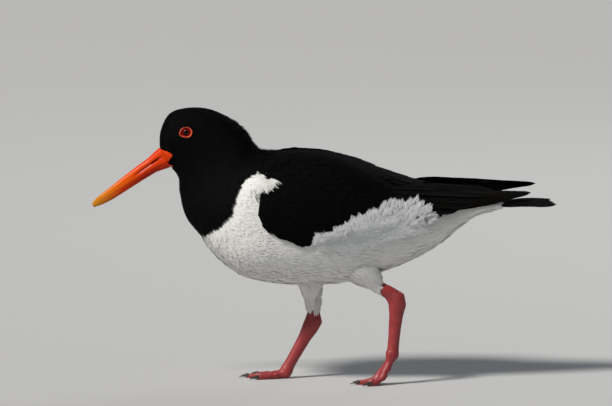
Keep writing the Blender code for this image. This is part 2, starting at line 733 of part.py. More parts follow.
def make_wing(side_name, side, materials):
    material = materials["flight_feather"]
    wing = wing_shield("wing_" + side_name, side, material)
    feathers = covert_tiers(side, material) + primaries(side, material) + tertials(side, material)
    combine(wing, feathers, "UNION", "MANIFOLD")


def make_tail(materials):
    """Six pairs of tail feathers: the middle pair lies on top and each next pair under it."""
    material = materials["flight_feather"]
    start = body_ring(RUMP_END, GAP / 2)
    centre = sum(start, Vector()) / len(start)
    rings = []
    for share, back, flat, wide in TAIL_STUMP:
        ring = []
        for point in start:
            x, y, z = point - centre
            ring.append(centre + Vector((back * MM + x * (1 - share), y * wide, z * flat)))
        rings.append(ring)
    root = loft("tail", rings, material)
    feathers = []
    for pair in range(TAIL_PAIRS):
        share = pair / (TAIL_PAIRS - 1)
        for side in SIDES.values():
            layer = 2 * pair + (1 if side > 0 else 0)
            tip_out, root_out = (near + (far - near) * share for near, far in (TAIL_TIP_OUT, TAIL_ROOT_OUT))
            tip = (TAIL_TIP_X - TAIL_ROUNDING * share**2, TAIL_TIP_Z - TAIL_LAYER * layer, tip_out)
            base = (TAIL_ROOT_X, TAIL_ROOT_Z - TAIL_ROOT_LAYER * layer, root_out)
            facing = math.radians(90 - TAIL_SLOPE * share)
            feathers.append(flight_feather(side, base, tip, TAIL_HALF_WIDTH, facing, TAIL_BOW, material))
    combine(root, feathers, "UNION", "MANIFOLD")


def leg_ring(centre, along, half_depth, half_width, count):
    """A ring across a leg, deeper fore and aft than it is wide."""
    fore = Vector((0, 1, 0)).cross(along).normalized()
    ring = []
    for number in range(count):
        turn = 2 * math.pi * number / count
        offset = fore * math.cos(turn) * half_depth + Vector((0, 1, 0)) * math.sin(turn) * half_width
        ring.append(centre + offset * MM)
    return ring


def leg_rings(stations, side, count, start_push=0.0):
    """Rings along a leg; the first is pushed on along the leg by one gap where it meets another piece."""
    centres = [side_point(x, z, side * out) for (x, z, out), _, _ in stations]
    rings = []
    for number, (_, half_depth, half_width) in enumerate(stations):
        before, after = centres[max(0, number - 1)], centres[min(len(centres) - 1, number + 1)]
        along = (after - before).normalized()
        push = along * start_push if number == 0 else Vector()
        rings.append(leg_ring(centres[number] + push, along, half_depth, half_width, count))
    return rings


def make_thigh(side_name, side, materials):
    """The feathered thigh, cut to lie one gap off the body."""
    thigh = loft("thigh_" + side_name, leg_rings(THIGH[side_name], side, 20), materials["white_feather"])
    body = body_length("body_form", NECK_END, TORSO_END, 12, materials["white_feather"], GAP)
    combine(thigh, [body], "DIFFERENCE")


def make_shank(side_name, side, materials):
    loft("shank_" + side_name, leg_rings(SHANK[side_name], side, SHANK_POINTS, GAP), materials["leg_skin"])


def foot_base(side_name, side, material):
    """The knuckle that carries the toes: it goes on from the shank's end face, one gap below it."""
    (end_x, end_z, out), depth, width = SHANK[side_name][-1]
    knuckle_x, knuckle_z = FOOT_KNUCKLE[side_name]
    ahead_x, ahead_z = KNUCKLE_AHEAD[side_name]
    deep, wide = depth * KNUCKLE_BULGE, width * KNUCKLE_BULGE
    stations = (
        ((end_x, end_z, out), depth, width),
        (((end_x + knuckle_x) / 2, (end_z + knuckle_z) / 2, out), deep, wide),
        ((knuckle_x, knuckle_z, out), deep, wide),
        ((ahead_x, ahead_z, out), depth * 0.8, width * 1.05),
    )
    rings = leg_rings(stations, side, SHANK_POINTS)
    shank = leg_rings(SHANK[side_name], side, SHANK_POINTS)
    along = (sum(shank[-1], Vector()) - sum(shank[-2], Vector())).normalized()
    rings[0] = [point + along * GAP for point in shank[-1]]
    for ring in rings:
        for point in ring:
            point.z = max(point.z, 0.0)
    return loft("foot_" + side_name, rings, material)


def toe_path(side_name, side, turn, share):
    """A toe's middle line from the knuckle to the claw as (point, radius), and the way it points."""
    x, z = FOOT_KNUCKLE[side_name]
    length = TOE_LENGTH * share
    rise = z - TOE_RADIUS
    reach = math.sqrt(length**2 - rise**2) + 0.22 * rise
    way = Vector((-math.cos(turn), side * math.sin(turn), 0))
    path = []
    for number in range(TOE_STEPS + 1):
        part = number / TOE_STEPS
        radius = TOE_RADIUS + (TOE_TIP_RADIUS - TOE_RADIUS) * part
        radius *= 1 + 0.09 * math.cos(2 * math.pi * part * TOE_JOINTS)
        floor = radius * TOE_SQUASH
        height = floor + (z - floor) * interpolate(TOE_DROP[side_name], part)
        start = side_point(x, height, side * LEG_Y[side_name])
        path.append((start + way * reach * part * MM, radius))
    return path, way


def toe_rings(path):
    """Rings along a toe, flattened where they would go through the floor."""
    rings = []
    for number, (centre, radius) in enumerate(path):
        along = (path[min(len(path) - 1, number + 1)][0] - path[max(0, number - 1)][0]).normalized()
        across = along.cross(Vector((0, 0, 1))).normalized()
        up = across.cross(along)
        ring = []
        for k in range(TOE_POINTS):
            turn = 2 * math.pi * (k + 0.5) / TOE_POINTS
            point = centre + (across * math.cos(turn) + up * math.sin(turn)) * radius * MM
            point.z = max(point.z, 0.0)
            ring.append(point)
        rings.append(ring)
    return rings


def make_foot(side_name, side, materials):
    """The foot: a knuckle and three front toes, with no hind toe; the claws are pieces of their own."""
    toes = []
    for toe, turn, share in TOES:
        path, way = toe_path(side_name, side, math.radians(turn), share)
        toes.append(loft("toe", toe_rings(path), materials["leg_skin"]))
        make_claw("claw_%s_%s" % (side_name, toe), path, way, materials)
    foot = foot_base(side_name, side, materials["leg_skin"])
    combine(foot, toes, "UNION", "MANIFOLD")


def make_claw(name, path, way, materials):
    """A short curved claw that meets the toe's end face with one gap."""
    end, _ = path[-1]
    across = way.cross(Vector((0, 0, 1)))
    rings = []
    for number in range(5):
        part = number / 4
        centre = end + way * (GAP + CLAW_LENGTH * part * MM)
        centre.z += (0.5 * math.sin(math.pi * part) - 1.3 * part**2) * MM
        radius = CLAW_RADIUS * (1 - 0.8 * part)
        ring = []
        for k in range(CLAW_POINTS):
            turn = 2 * math.pi * k / CLAW_POINTS
            offset = across * math.cos(turn) * 0.8 + Vector((0, 0, 1)) * math.sin(turn)
            point = centre + offset * radius * MM
            point.z = max(point.z, 0.0)
            ring.append(point)
        rings.append(ring)
    loft(name, rings, materials["claw"])


def main():
    clear_scene()
    materials = make_materials()
    make_head(materials)
    make_trunk(materials)
    make_mantle(materials)
    make_bill(materials)
    make_tail(materials)
    for side_name, side in SIDES.items():
        make_eye(side_name, side, materials)
        make_wing(side_name, side, materials)
        make_thigh(side_name, side, materials)
        make_shank(side_name, side, materials)
        make_foot(side_name, side, materials)


main()
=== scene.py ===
"""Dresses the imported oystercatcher: skin, plumage, bill, eyes, legs and claws, on a plain studio floor.

Metres, +Z up. The bird faces -X, its left side is -Y. Side-view sizes are in millimetres.
"""

import math

import bpy
import numpy as np
from bpy.props import FloatProperty, FloatVectorProperty, PointerProperty
from mathutils import Matrix, Vector, kdtree
from mathutils.bvhtree import BVHTree


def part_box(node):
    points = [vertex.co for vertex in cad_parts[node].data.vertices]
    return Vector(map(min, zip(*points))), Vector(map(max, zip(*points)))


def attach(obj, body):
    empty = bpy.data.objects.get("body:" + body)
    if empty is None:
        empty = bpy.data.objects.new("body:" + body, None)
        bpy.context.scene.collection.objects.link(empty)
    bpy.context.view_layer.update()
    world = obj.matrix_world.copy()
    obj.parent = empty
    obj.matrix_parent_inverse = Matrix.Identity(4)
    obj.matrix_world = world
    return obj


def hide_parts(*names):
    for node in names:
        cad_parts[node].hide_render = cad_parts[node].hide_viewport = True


bl_info = {
    "name": "Oystercatcher Model",
    "version": (1, 0, 0),
    "blender": (4, 5, 0),
    "location": "View3D > Sidebar > Oystercatcher",
    "description": "Skin, plumage, bill, eyes and legs for the solids of a wading oystercatcher",
    "category": "Object",
}

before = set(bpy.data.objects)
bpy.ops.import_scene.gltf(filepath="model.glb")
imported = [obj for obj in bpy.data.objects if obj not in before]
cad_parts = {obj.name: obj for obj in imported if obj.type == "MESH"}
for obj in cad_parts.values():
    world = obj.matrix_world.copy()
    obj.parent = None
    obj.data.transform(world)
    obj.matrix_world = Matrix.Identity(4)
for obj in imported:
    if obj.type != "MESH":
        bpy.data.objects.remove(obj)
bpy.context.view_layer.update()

MM = 0.001
SIDES = {"left": -1, "right": 1}

# The bird's outline: belly-side and back-side points of each section in the side view, and its half width.
OUTLINE = np.array((
    (-135.6, 190.7, -143.5, 206.2, 8.0), (-132.1, 188.5, -142.6, 222.1, 15.5),
    (-129.4, 185.4, -134.7, 237.2, 19.0), (-126.8, 180.5, -118.9, 242.3, 20.8),
    (-126.4, 174.3, -100.4, 241.3, 22.0), (-126.2, 166.4, -82.8, 233.6, 23.5),
    (-124.8, 156.6, -68.7, 222.0, 26.5), (-119.8, 143.4, -58.2, 206.8, 33.0),
    (-107.4, 128.3, -45.0, 204.4, 40.0), (-92.5, 110.6, -29.1, 204.6, 44.5),
    (-71.4, 95.1, -13.3, 204.9, 46.5), (-41.4, 88.5, 6.1, 202.7, 46.0),
    (-10.6, 87.2, 28.1, 194.7, 43.5), (20.2, 89.4, 48.3, 184.1, 39.0),
    (49.2, 97.4, 67.7, 175.2, 33.0), (75.6, 108.0, 85.3, 169.0, 26.5),
    (100.2, 121.2, 103.8, 165.0, 21.5), (119.6, 137.2, 121.4, 163.4, 18.0),
    (134.6, 147.4, 135.4, 162.0, 16.5), (154.8, 153.3, 153.9, 161.3, 15.0),
)) * MM
LAST_STATION = len(OUTLINE) - 1
FULLNESS = 2.25

# The folded wing's shield, as the solids have it.
WING_LOWER_EDGE = np.array(((-63, 178), (-58.5, 165), (-57, 153.5), (-51, 140.5), (-38, 134), (-19, 127.5), (3, 125), (23, 124.5),
                            (50, 130), (76, 139), (98, 148))) * MM
WING_FRONT, WING_REAR, WING_TOP = 8.42, 15.55, 0.2
WING_CLEARANCE = 0.6 * MM

# The steepest that a feather climbs or falls away from its root over the forms under it.
STEEPEST = 0.42

# Lower border of the black on head, neck and shoulder, and upper border of the white bar on the wing.
BLACK_BORDER = np.array(((-112, 124), (-107.9, 129.2), (-100.8, 134.7), (-92.6, 140.7), (-86.7, 145.6),
                         (-81, 153.1), (-79.3, 160.5), (-74.9, 170.3), (-72.2, 177.5), (-68.7, 183.4),
                         (-63.4, 186.6), (-56, 187.9), (-48.9, 186.7), (-45.4, 181.9), (-37, 179.7),
                         (-30, 178), (60, 176))) * MM
BAR_BORDER = np.array(((-16, 124), (-12.4, 131.8), (0, 137), (18.8, 145.9), (33, 152.5), (46.1, 158.2),
                       (60, 160.0), (73.4, 159.0), (85, 155.5), (97.6, 151.5), (104, 146))) * MM

# Legs: side-view point, distance from the middle plane, half depth and half width of each section.
THIGHS = {
    "left": ((18, 124, 12, 15, 12), (25, 113, 16.4, 18, 14), (30.5, 106, 17.6, 17, 12.4),
             (36.8, 99.2, 20.4, 13.2, 10.8), (43.4, 92.6, 21.5, 8.8, 8.2), (48.4, 87.4, 21.3, 6.0, 5.9),
             (53.2, 83.6, 21, 5.3, 5.2)),
    "right": ((-13, 122, 12, 18, 12), (-12.5, 109, 16, 20, 14), (-12, 97, 18.4, 16, 13),
              (-11, 86, 20.0, 11.6, 10.3), (-10.2, 76, 20.2, 8.0, 7.6), (-9.5, 69, 20, 6.3, 6.0),
              (-9.0, 63, 20, 5.6, 5.4)),
}
LAST_THIGH = len(THIGHS["left"]) - 1


# Forms.


def through(values, place):
    """A smooth curve through equally spaced values, read at places counted in values, straight past the ends."""
    values = np.asarray(values, float)
    last = len(values) - 1
    place = np.asarray(place, float)
    inside = np.clip(place, 0, last)
    number = np.minimum(inside.astype(int), last - 1)
    wide = (Ellipsis,) + (None,) * (values.ndim - 1)
    t = (inside - number)[wide]
    start, end = values[number], values[number + 1]
    before, after = values[np.maximum(number - 1, 0)], values[np.minimum(number + 2, last)]
    slope_start = np.where((number > 0)[wide], (end - before) / 2, end - start)
    slope_end = np.where((number < last - 1)[wide], (after - start) / 2, end - start)
    curve = (start * (2 * t**3 - 3 * t**2 + 1) + slope_start * (t**3 - 2 * t**2 + t)
             + end * (3 * t**2 - 2 * t**3) + slope_end * (t**3 - t**2))
    return curve + (place - inside)[wide] * np.where((place < 0)[wide], slope_start, slope_end)


def unit(vectors):
    return vectors / np.maximum(np.linalg.norm(vectors, axis=-1, keepdims=True), 1e-12)


def ease(value):
    value = np.clip(value, 0.0, 1.0)
    return value * value * (3 - 2 * value)


def signed_power(value, power):
    return np.sign(value) * np.abs(value) ** power


def body(s, turn):
    """Points of the bird's outline at station s; turn is 0 on the back, positive on the right, pi below."""
    sections = through(OUTLINE, s)
    belly, back = sections[..., 0:2], sections[..., 2:4]
    up = signed_power(np.cos(turn), 2 / FULLNESS)[..., None]
    side_view = (belly + back) / 2 + (back - belly) / 2 * up
    out = sections[..., 4] * signed_power(np.sin(turn), 2 / FULLNESS)
    return np.stack((side_view[..., 0], out, side_view[..., 1]), -1)


def thigh(sections, side):
    """The outline of a leg's upper part: s runs down the leg, turn round it from the front."""
    stations = np.array(sections) * MM

    def surface(s, turn):
        rows = through(stations, s)
        step = through(stations, s + 0.05) - through(stations, s - 0.05)
        along = unit(np.stack((step[..., 0], side * step[..., 2], step[..., 1]), -1))
        fore = unit(np.cross(np.array((0.0, 1.0, 0.0)), along))
        centre = np.stack((rows[..., 0], side * rows[..., 2], rows[..., 1]), -1)
        sideways = np.zeros_like(centre)
        sideways[..., 1] = -np.sin(turn) * rows[..., 4]
        return centre + fore * (np.cos(turn) * rows[..., 3])[..., None] + sideways

    return surface


def surface_frame(surface, s, turn):
    """Point, outward normal, unit directions along and round a surface, and metres per unit of each."""
    step = 0.02
    along = (surface(s + step, turn) - surface(s - step, turn)) / (2 * step)
    around = (surface(s, turn + step) - surface(s, turn - step)) / (2 * step)
    stretch_s = np.linalg.norm(along, axis=-1)
    stretch_turn = np.maximum(np.linalg.norm(around, axis=-1), 1e-4)
    return (surface(s, turn), unit(np.cross(along, around)), unit(along), unit(around),
            stretch_s, stretch_turn)


def shelf(s):
    """Angle of the folded wing's lower edge at station s."""
    low, high = np.zeros_like(s), np.ones_like(s)
    sections = through(OUTLINE, s)
    for _ in range(24):
        share = (low + high) / 2
        x = sections[..., 0] + (sections[..., 2] - sections[..., 0]) * share
        z = sections[..., 1] + (sections[..., 3] - sections[..., 1]) * share
        below = z < np.interp(x, WING_LOWER_EDGE[:, 0], WING_LOWER_EDGE[:, 1])
        low, high = np.where(below, share, low), np.where(below, high, share)
    up = 2 * low - 1
    return np.arccos(signed_power(up, FULLNESS / 2))


def half_width_at(x, z):
    """Half width of the outline at side-view points, in metres."""
    low, high = np.zeros_like(x), np.full_like(x, float(LAST_STATION))
    for _ in range(22):
        s = (low + high) / 2
        ends = through(OUTLINE, s)
        up_x, up_z = ends[..., 2] - ends[..., 0], ends[..., 3] - ends[..., 1]
        past = (x - ends[..., 0]) * up_z - (z - ends[..., 1]) * up_x > 0
        low, high = np.where(past, s, low), np.where(past, high, s)
    ends = through(OUTLINE, low)
    up_x, up_z = ends[..., 2] - ends[..., 0], ends[..., 3] - ends[..., 1]
    share = ((x - ends[..., 0]) * up_x + (z - ends[..., 1]) * up_z) / (up_x**2 + up_z**2)
    height = np.clip(np.abs(2 * share - 1), 0, 1)
    return ends[..., 4] * (1 - height**FULLNESS) ** (1 / FULLNESS)


EDGE_PLACES = np.linspace(7.0, 19.0, 241)
EDGE_ANGLES = shelf(EDGE_PLACES)


def wing_edge(s):
    return np.interp(s, EDGE_PLACES, EDGE_ANGLES)


def shield_thickness(s, turn):
    """How far the folded arm's surface lies above the body, in metres."""
    angle = np.abs(turn)
    along = (s - WING_FRONT) / (WING_REAR - WING_FRONT)
    low = wing_edge(s)
    up = (low - angle) / (low - WING_TOP)
    swell = ease(along / 0.16) * ease((1 - along) / 0.5) * ease(up / 0.2) * ease((1 - up) / 0.35)
    return (1.6 - 1.2 * ease((up - 0.78) / 0.22) + 4.4 * swell) * MM


def wing_lift(s, turn):
    return WING_CLEARANCE + shield_thickness(s, turn)


def no_lift(s, turn):
    return np.zeros_like(s)


HOLLOW = np.array(((13.6, 0), (14.3, 2.2), (15, 2.6), (16, 4.4), (17, 3.0), (18, 1.8), (19, 0.8)))


def hollow(s, turn):
    """How far the underside of trunk and breast lies inside the outline, in millimetres."""
    low = ease((np.abs(turn) - 1.9) / 0.7)
    return low * np.maximum(np.interp(s, HOLLOW[:, 0], HOLLOW[:, 1]), 0.9 * ease(s - 4.5) * ease(10.5 - s))


def gentle(lifts, reach):
    """Lifts along feathers, root first, held to a gentle slope from each root; both in metres."""
    return np.clip(lifts, lifts[..., :1] - STEEPEST * reach, lifts[..., :1] + STEEPEST * reach)


def blackness(points, rng=None, ragged=0.0):
    """Millimetres inside the black of head and neck, negative in the white, at points of the outline."""
    border = np.interp(points[..., 0], BLACK_BORDER[:, 0], BLACK_BORDER[:, 1])
    inside = (points[..., 2] - border) / MM
    inside = np.where(points[..., 0] > 62 * MM, -20.0, inside)
    if rng is not None:
        inside = inside + rng.normal(0, ragged, inside.shape)
    return inside


def bar_depth(points):
    """Millimetres below the upper border of the wing's white bar, negative above it."""
    border = np.interp(points[..., 0], BAR_BORDER[:, 0], BAR_BORDER[:, 1])
    inside = (border - points[..., 2]) / MM
    ends = np.minimum(points[..., 0] / MM + 15, 102 - points[..., 0] / MM)
    return np.minimum(inside, ends)


# Meshes.


def deselect_all():
    if bpy.context.object and bpy.context.object.mode != "OBJECT":
        bpy.ops.object.mode_set(mode="OBJECT")
    bpy.ops.object.select_all(action="DESELECT")


def pick(thing):
    deselect_all()
    thing.select_set(True)
    bpy.context.view_layer.objects.active = thing
    return thing


def finish_piece(thing, slot, *nodes):
    """Rides the piece on the bird and hides the solids that it stands for; its slot is not used."""
    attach(thing, "root")
    if nodes:
        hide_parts(*nodes)
    return thing


def coordinates(thing):
    points = np.empty(len(thing.data.vertices) * 3)
    thing.data.vertices.foreach_get("co", points)
    return points.reshape(-1, 3)


def normals_of(thing):
    normals = np.empty(len(thing.data.vertices) * 3)
    thing.data.vertices.foreach_get("normal", normals)
    return normals.reshape(-1, 3)


def move_to(thing, points):
    thing.data.vertices.foreach_set("co", points.astype(np.float32).ravel())
    thing.data.update()


def add_value(mesh, name, values):
    attribute = mesh.attributes.new(name, "FLOAT", "POINT")
    attribute.data.foreach_set("value", np.asarray(values, np.float32).ravel())


def array_mesh(name, points, triangles, material, normals=None, uvs=None, values=None):
    """An object from arrays of points and triangles, with vertex normals, UV maps and point values."""
    mesh = bpy.data.meshes.new(name)
    mesh.vertices.add(len(points))
    mesh.vertices.foreach_set("co", np.asarray(points, np.float32).ravel())
    corners = np.asarray(triangles, np.int32).ravel()
    mesh.loops.add(len(corners))
    mesh.loops.foreach_set("vertex_index", corners)
    mesh.polygons.add(len(triangles))
    mesh.polygons.foreach_set("loop_start", np.arange(0, len(corners), 3, dtype=np.int32))
    mesh.update(calc_edges=True)
    mesh.shade_smooth()
    for key, places in (uvs or {}).items():
        layer = mesh.uv_layers.new(name=key)
        layer.data.foreach_set("uv", np.asarray(places, np.float32)[corners].ravel())
    for key, numbers in (values or {}).items():
        add_value(mesh, key, numbers)
    if normals is not None:
        mesh.normals_split_custom_set_from_vertices(np.asarray(normals, np.float32))
    mesh.materials.append(material)
    made = bpy.data.objects.new(name, mesh)
    bpy.context.scene.collection.objects.link(made)
    return made


class Parts:
    """Arrays of many small forms, gathered until they become one mesh."""

    def __init__(self):
        self.points, self.normals, self.triangles = [], [], []
        self.bake, self.grain, self.values = [], [], {}
        self.count = 0

    def add(self, points, normals, triangles, bake, grain, **values):
        """points (forms, vertices, 3) with triangles of one form, repeated for all of them."""
        forms, vertices = points.shape[:2]
        starts = self.count + np.arange(forms)[:, None, None] * vertices
        self.triangles.append((np.asarray(triangles)[None] + starts).reshape(-1, 3))
        self.points.append(points.reshape(-1, 3))
        self.normals.append(normals.reshape(-1, 3))
        self.bake.append(bake.reshape(-1, 2))
        self.grain.append(grain.reshape(-1, 2))
        for key, numbers in values.items():
            self.values.setdefault(key, []).append(np.broadcast_to(numbers, (forms, vertices)).ravel())
        self.count += forms * vertices

    def build(self, name, material):
        return array_mesh(
            name, np.concatenate(self.points), np.concatenate(self.triangles), material,
            normals=unit(np.concatenate(self.normals)),
            uvs={"OFBake": np.concatenate(self.bake), "grain": np.concatenate(self.grain)},
            values={key: np.concatenate(numbers) for key, numbers in self.values.items()},
        )


# Plumage.


def scatter(surface, s_span, turn_span, density, rng):
    """Roots spread over a surface at a density in roots per square millimetre: arrays of s and turn."""
    rows, columns = 160, 144
    s_edges = np.linspace(*s_span, rows + 1)
    turn_edges = np.linspace(*turn_span, columns + 1)
    s, turn = np.meshgrid((s_edges[1:] + s_edges[:-1]) / 2, (turn_edges[1:] + turn_edges[:-1]) / 2,
                          indexing="ij")
    s, turn = s.ravel(), turn.ravel()
    _, _, _, _, stretch_s, stretch_turn = surface_frame(surface, s, turn)
    ds, dturn = s_edges[1] - s_edges[0], turn_edges[1] - turn_edges[0]
    wanted = stretch_s * stretch_turn * ds * dturn * 1e6 * density(s, turn)
    total = np.cumsum(wanted)
    count = int(total[-1])
    places = (np.arange(count) + rng.random(count)) / count * total[-1]
    cell = np.minimum(np.searchsorted(total, places), len(s) - 1)
    return (s[cell] + (rng.random(count) - 0.5) * ds, turn[cell] + (rng.random(count) - 0.5) * dturn)


def sideways_sign(surface, turn):
    """1 where a growing turn leads down the body's side, -1 on its other side."""
    return np.where(np.sin(turn) < 0, -1.0, 1.0) if surface is body else np.ones_like(turn)


FAN_SHARES = np.array((0.0, 0.4, 0.82, 1.0))
FAN_WIDTHS = np.array((0.5, 1.0, 0.80, 0.0))
FAN_TRIANGLES = ((0, 1, 3), (0, 3, 2), (2, 3, 5), (2, 5, 4), (4, 5, 6))


def unwrap_body(s, turn):
    return np.stack((0.5 + 0.47 * np.arctan2(np.sin(turn), np.cos(turn)) / np.pi,
                     0.02 + 0.96 * np.clip(s, 0, LAST_STATION) / LAST_STATION), -1)


def unwrap_thigh(s, turn):
    return np.stack((0.5 + 0.47 * np.arctan2(np.sin(turn), np.cos(turn)) / np.pi,
                     0.02 + 0.96 * np.clip(s, 0, LAST_THIGH) / LAST_THIGH), -1)


def add_fans(parts, surface, s, turn, rng, length, half_width, blades, spread, depth, rise,
             lean=0.0, lift=no_lift, curl=0.0, ragged=0.16, wander=0.08, relief=1.0, comb=0.0, shade=None):
    """Tufts of thin blades, fanned from a root that is comb wide to each side; sizes in millimetres."""
    count = len(s)
    length, half_width, spread, depth, rise, lean, curl, ragged = (
        np.broadcast_to(np.asarray(value, float), (count,))[:, None] for value in
        (length, half_width, spread, depth, rise, lean, curl, ragged))
    _, _, _, _, stretch_s, stretch_turn = surface_frame(surface, s, turn)
    place = np.linspace(-1, 1, blades)[None, :] + rng.normal(0, 0.06, (count, blades))
    heading = lean + spread * place + rng.normal(0, wander, (count, blades))
    heading = heading + rng.normal(0, wander * 1.2, (count, 1))
    long = length * (1 - 0.24 * place**2) * rng.uniform(1 - ragged, 1 + ragged / 2, (count, blades))
    t = FAN_SHARES
    settle = lean[..., None] + (heading - lean)[..., None] * (1 - 0.42 * t)
    reach = long[..., None] * t * MM
    down = sideways_sign(surface, turn)[:, None, None]
    shift = (place * (half_width * 1.1 + comb) * MM)[..., None]
    here_s = s[:, None, None] + (np.cos(settle) * reach - np.sin(lean)[..., None] * shift) / stretch_s[:, None, None]
    here_turn = turn[:, None, None] + (down * (np.sin(settle) * reach + np.cos(lean)[..., None] * shift)
                                       / stretch_turn[:, None, None])
    point, normal, _, _, _, _ = surface_frame(surface, here_s, here_turn)
    tip_rise = (rise + rng.uniform(-0.35, 0.35, (count, blades)) * (0.6 * relief + np.abs(rise)))[..., None]
    height = -depth[..., None] + (depth[..., None] + tip_rise) * (1 - (1 - t) ** 2)
    height = height + curl[..., None] * t**3
    point = point + normal * (height * MM + gentle(lift(here_s, here_turn), reach))[..., None]
    way = unit(np.gradient(point, axis=2))
    across = unit(np.cross(way, normal))
    half = (half_width[..., None] * FAN_WIDTHS * MM * rng.uniform(0.75, 1.2, (count, blades, 1)))[..., None]
    left, right = point - across * half, point + across * half
    soft = normal + rng.normal(0, 0.10 * relief, (count, blades, 1, 3))
    if shade is not None:
        soft = soft + shade[:, None, None, :]
    normal_left, normal_right = soft - across * 0.38 * relief, soft + across * 0.38 * relief
    order = [(side, k) for k in range(3) for side in (0, 1)]
    edges, edge_normals = (left, right), (normal_left, normal_right)
    points = np.stack([edges[side][:, :, k] for side, k in order] + [point[:, :, 3]], 2)
    normals = np.stack([edge_normals[side][:, :, k] for side, k in order] + [soft[:, :, 3]], 2)
    shares = np.array([t[k] for _, k in order] + [1.0])
    unwrap = unwrap_body if surface is body else unwrap_thigh
    bake = np.empty(points.shape[:3] + (2,))
    bake[...] = unwrap(s, turn)[:, None, None, :]
    bake[..., 0] += place[..., None] * 0.0011 + np.array((-1, 1, -1, 1, -1, 1, 0)) * 0.0003
    bake[..., 1] += (shares - 0.5) * 0.003
    grain = np.empty_like(bake)
    grain[..., 0] = np.array((0, 1, 0, 1, 0, 1, 0.5))
    grain[..., 1] = shares
    tone = np.repeat(rng.random(count), blades)[:, None] * 0.7 + rng.random((count * blades, 1)) * 0.3
    flat = (count * blades, 7)
    parts.add(points.reshape(*flat, 3), normals.reshape(*flat, 3), FAN_TRIANGLES,
              bake.reshape(*flat, 2), grain.reshape(*flat, 2), tone=tone, tip=shares[None, :])


VANE_SHARES = np.array((0.0, 0.14, 0.3, 0.46, 0.62, 0.76, 0.88, 0.96, 1.0))
VANE_WIDTHS = np.array((0.34, 0.66, 0.88, 0.98, 1.0, 0.94, 0.74, 0.45, 0.12))
VANE_PLACES = np.array((-1.0, -0.55, 0.0, 0.55, 1.0))


def grid_triangles(rows, columns):
    """Triangles of a sheet of rows by columns of points, facing out of the sheet."""
    made = []
    for row in range(rows - 1):
        for column in range(columns - 1):
            a = row * columns + column
            b, c, d = a + 1, a + columns + 1, a + columns
            made += [(a, b, c), (a, c, d)]
    return made


def add_vanes(parts, surface, s, turn, rng, length, half_width, lean, start, end, lift=no_lift,
              cup=0.2, frayed=0.05, tilt=0.0, wander=0.05):
    """Broad feathers with a shaft, lying like shingles on a surface; sizes in millimetres."""
    count = len(s)
    length, half_width, lean, start, end = (
        np.broadcast_to(np.asarray(value, float), (count,))[:, None] for value in
        (length, half_width, lean, start, end))
    _, _, _, _, stretch_s, stretch_turn = surface_frame(surface, s, turn)
    t = VANE_SHARES[None, :]
    reach = length * t * MM
    heading = lean + rng.normal(0, wander, (count, 1))
    down = sideways_sign(surface, turn)[:, None]
    here_s = s[:, None] + np.cos(heading) * reach / stretch_s[:, None]
    here_turn = turn[:, None] + down * np.sin(heading) * reach / stretch_turn[:, None]
    point, normal, _, _, _, _ = surface_frame(surface, here_s, here_turn)
    height = start + (end - start) * t**0.9
    point = point + normal * (height * MM + gentle(lift(here_s, here_turn), reach))[..., None]
    way = unit(np.gradient(point, axis=1))
    across = unit(np.cross(way, normal))
    half = half_width * VANE_WIDTHS * MM * (1 + rng.normal(0, frayed, (count, len(VANE_SHARES))))
    places = VANE_PLACES
    sink = cup * places**2 * half[..., None]
    ridge = np.where(places == 0, 0.12 * MM, 0.0)
    uneven = 1 + rng.normal(0, frayed, (count, len(VANE_SHARES), len(places))) * (np.abs(places) == 1)
    offset = across[:, :, None] * (places * half[..., None] * uneven)[..., None]
    height = (-sink + ridge + tilt * down[..., None] * places * half[..., None])[..., None]
    points = point[:, :, None] + offset + normal[:, :, None] * height
    normals = normal[:, :, None] + across[:, :, None] * (places * cup * 1.5)[:, None]
    normals = np.broadcast_to(normals, points.shape)
    rows, columns = len(VANE_SHARES), len(places)
    unwrap = unwrap_body(s, turn)[:, None, None, :]
    bake = np.empty((count, rows, columns, 2))
    bake[...] = unwrap
    bake[..., 0] += places * 0.0015
    bake[..., 1] += (VANE_SHARES[:, None] - 0.5) * 0.003
    grain = np.empty_like(bake)
    grain[..., 0] = (places + 1) / 2
    grain[..., 1] = VANE_SHARES[:, None]
    size = (count, rows * columns)
    tip = np.broadcast_to(VANE_SHARES[:, None], (rows, columns)).reshape(1, -1)
    parts.add(points.reshape(*size, 3), normals.reshape(*size, 3), grid_triangles(rows, columns),
              bake.reshape(*size, 2), grain.reshape(*size, 2), tone=rng.random((count, 1)), tip=tip)


QUILL_ROWS = 34
QUILL_PLACES = np.array((-1.0, -0.72, -0.36, 0.0, 0.36, 0.72, 1.0))
QUILL_OUTLINE = ((0.0, 0.12), (0.1, 0.42), (0.28, 0.84), (0.55, 1.0), (0.75, 0.98), (0.87, 0.88),
                 (0.95, 0.62), (0.985, 0.34), (1.0, 0.06))


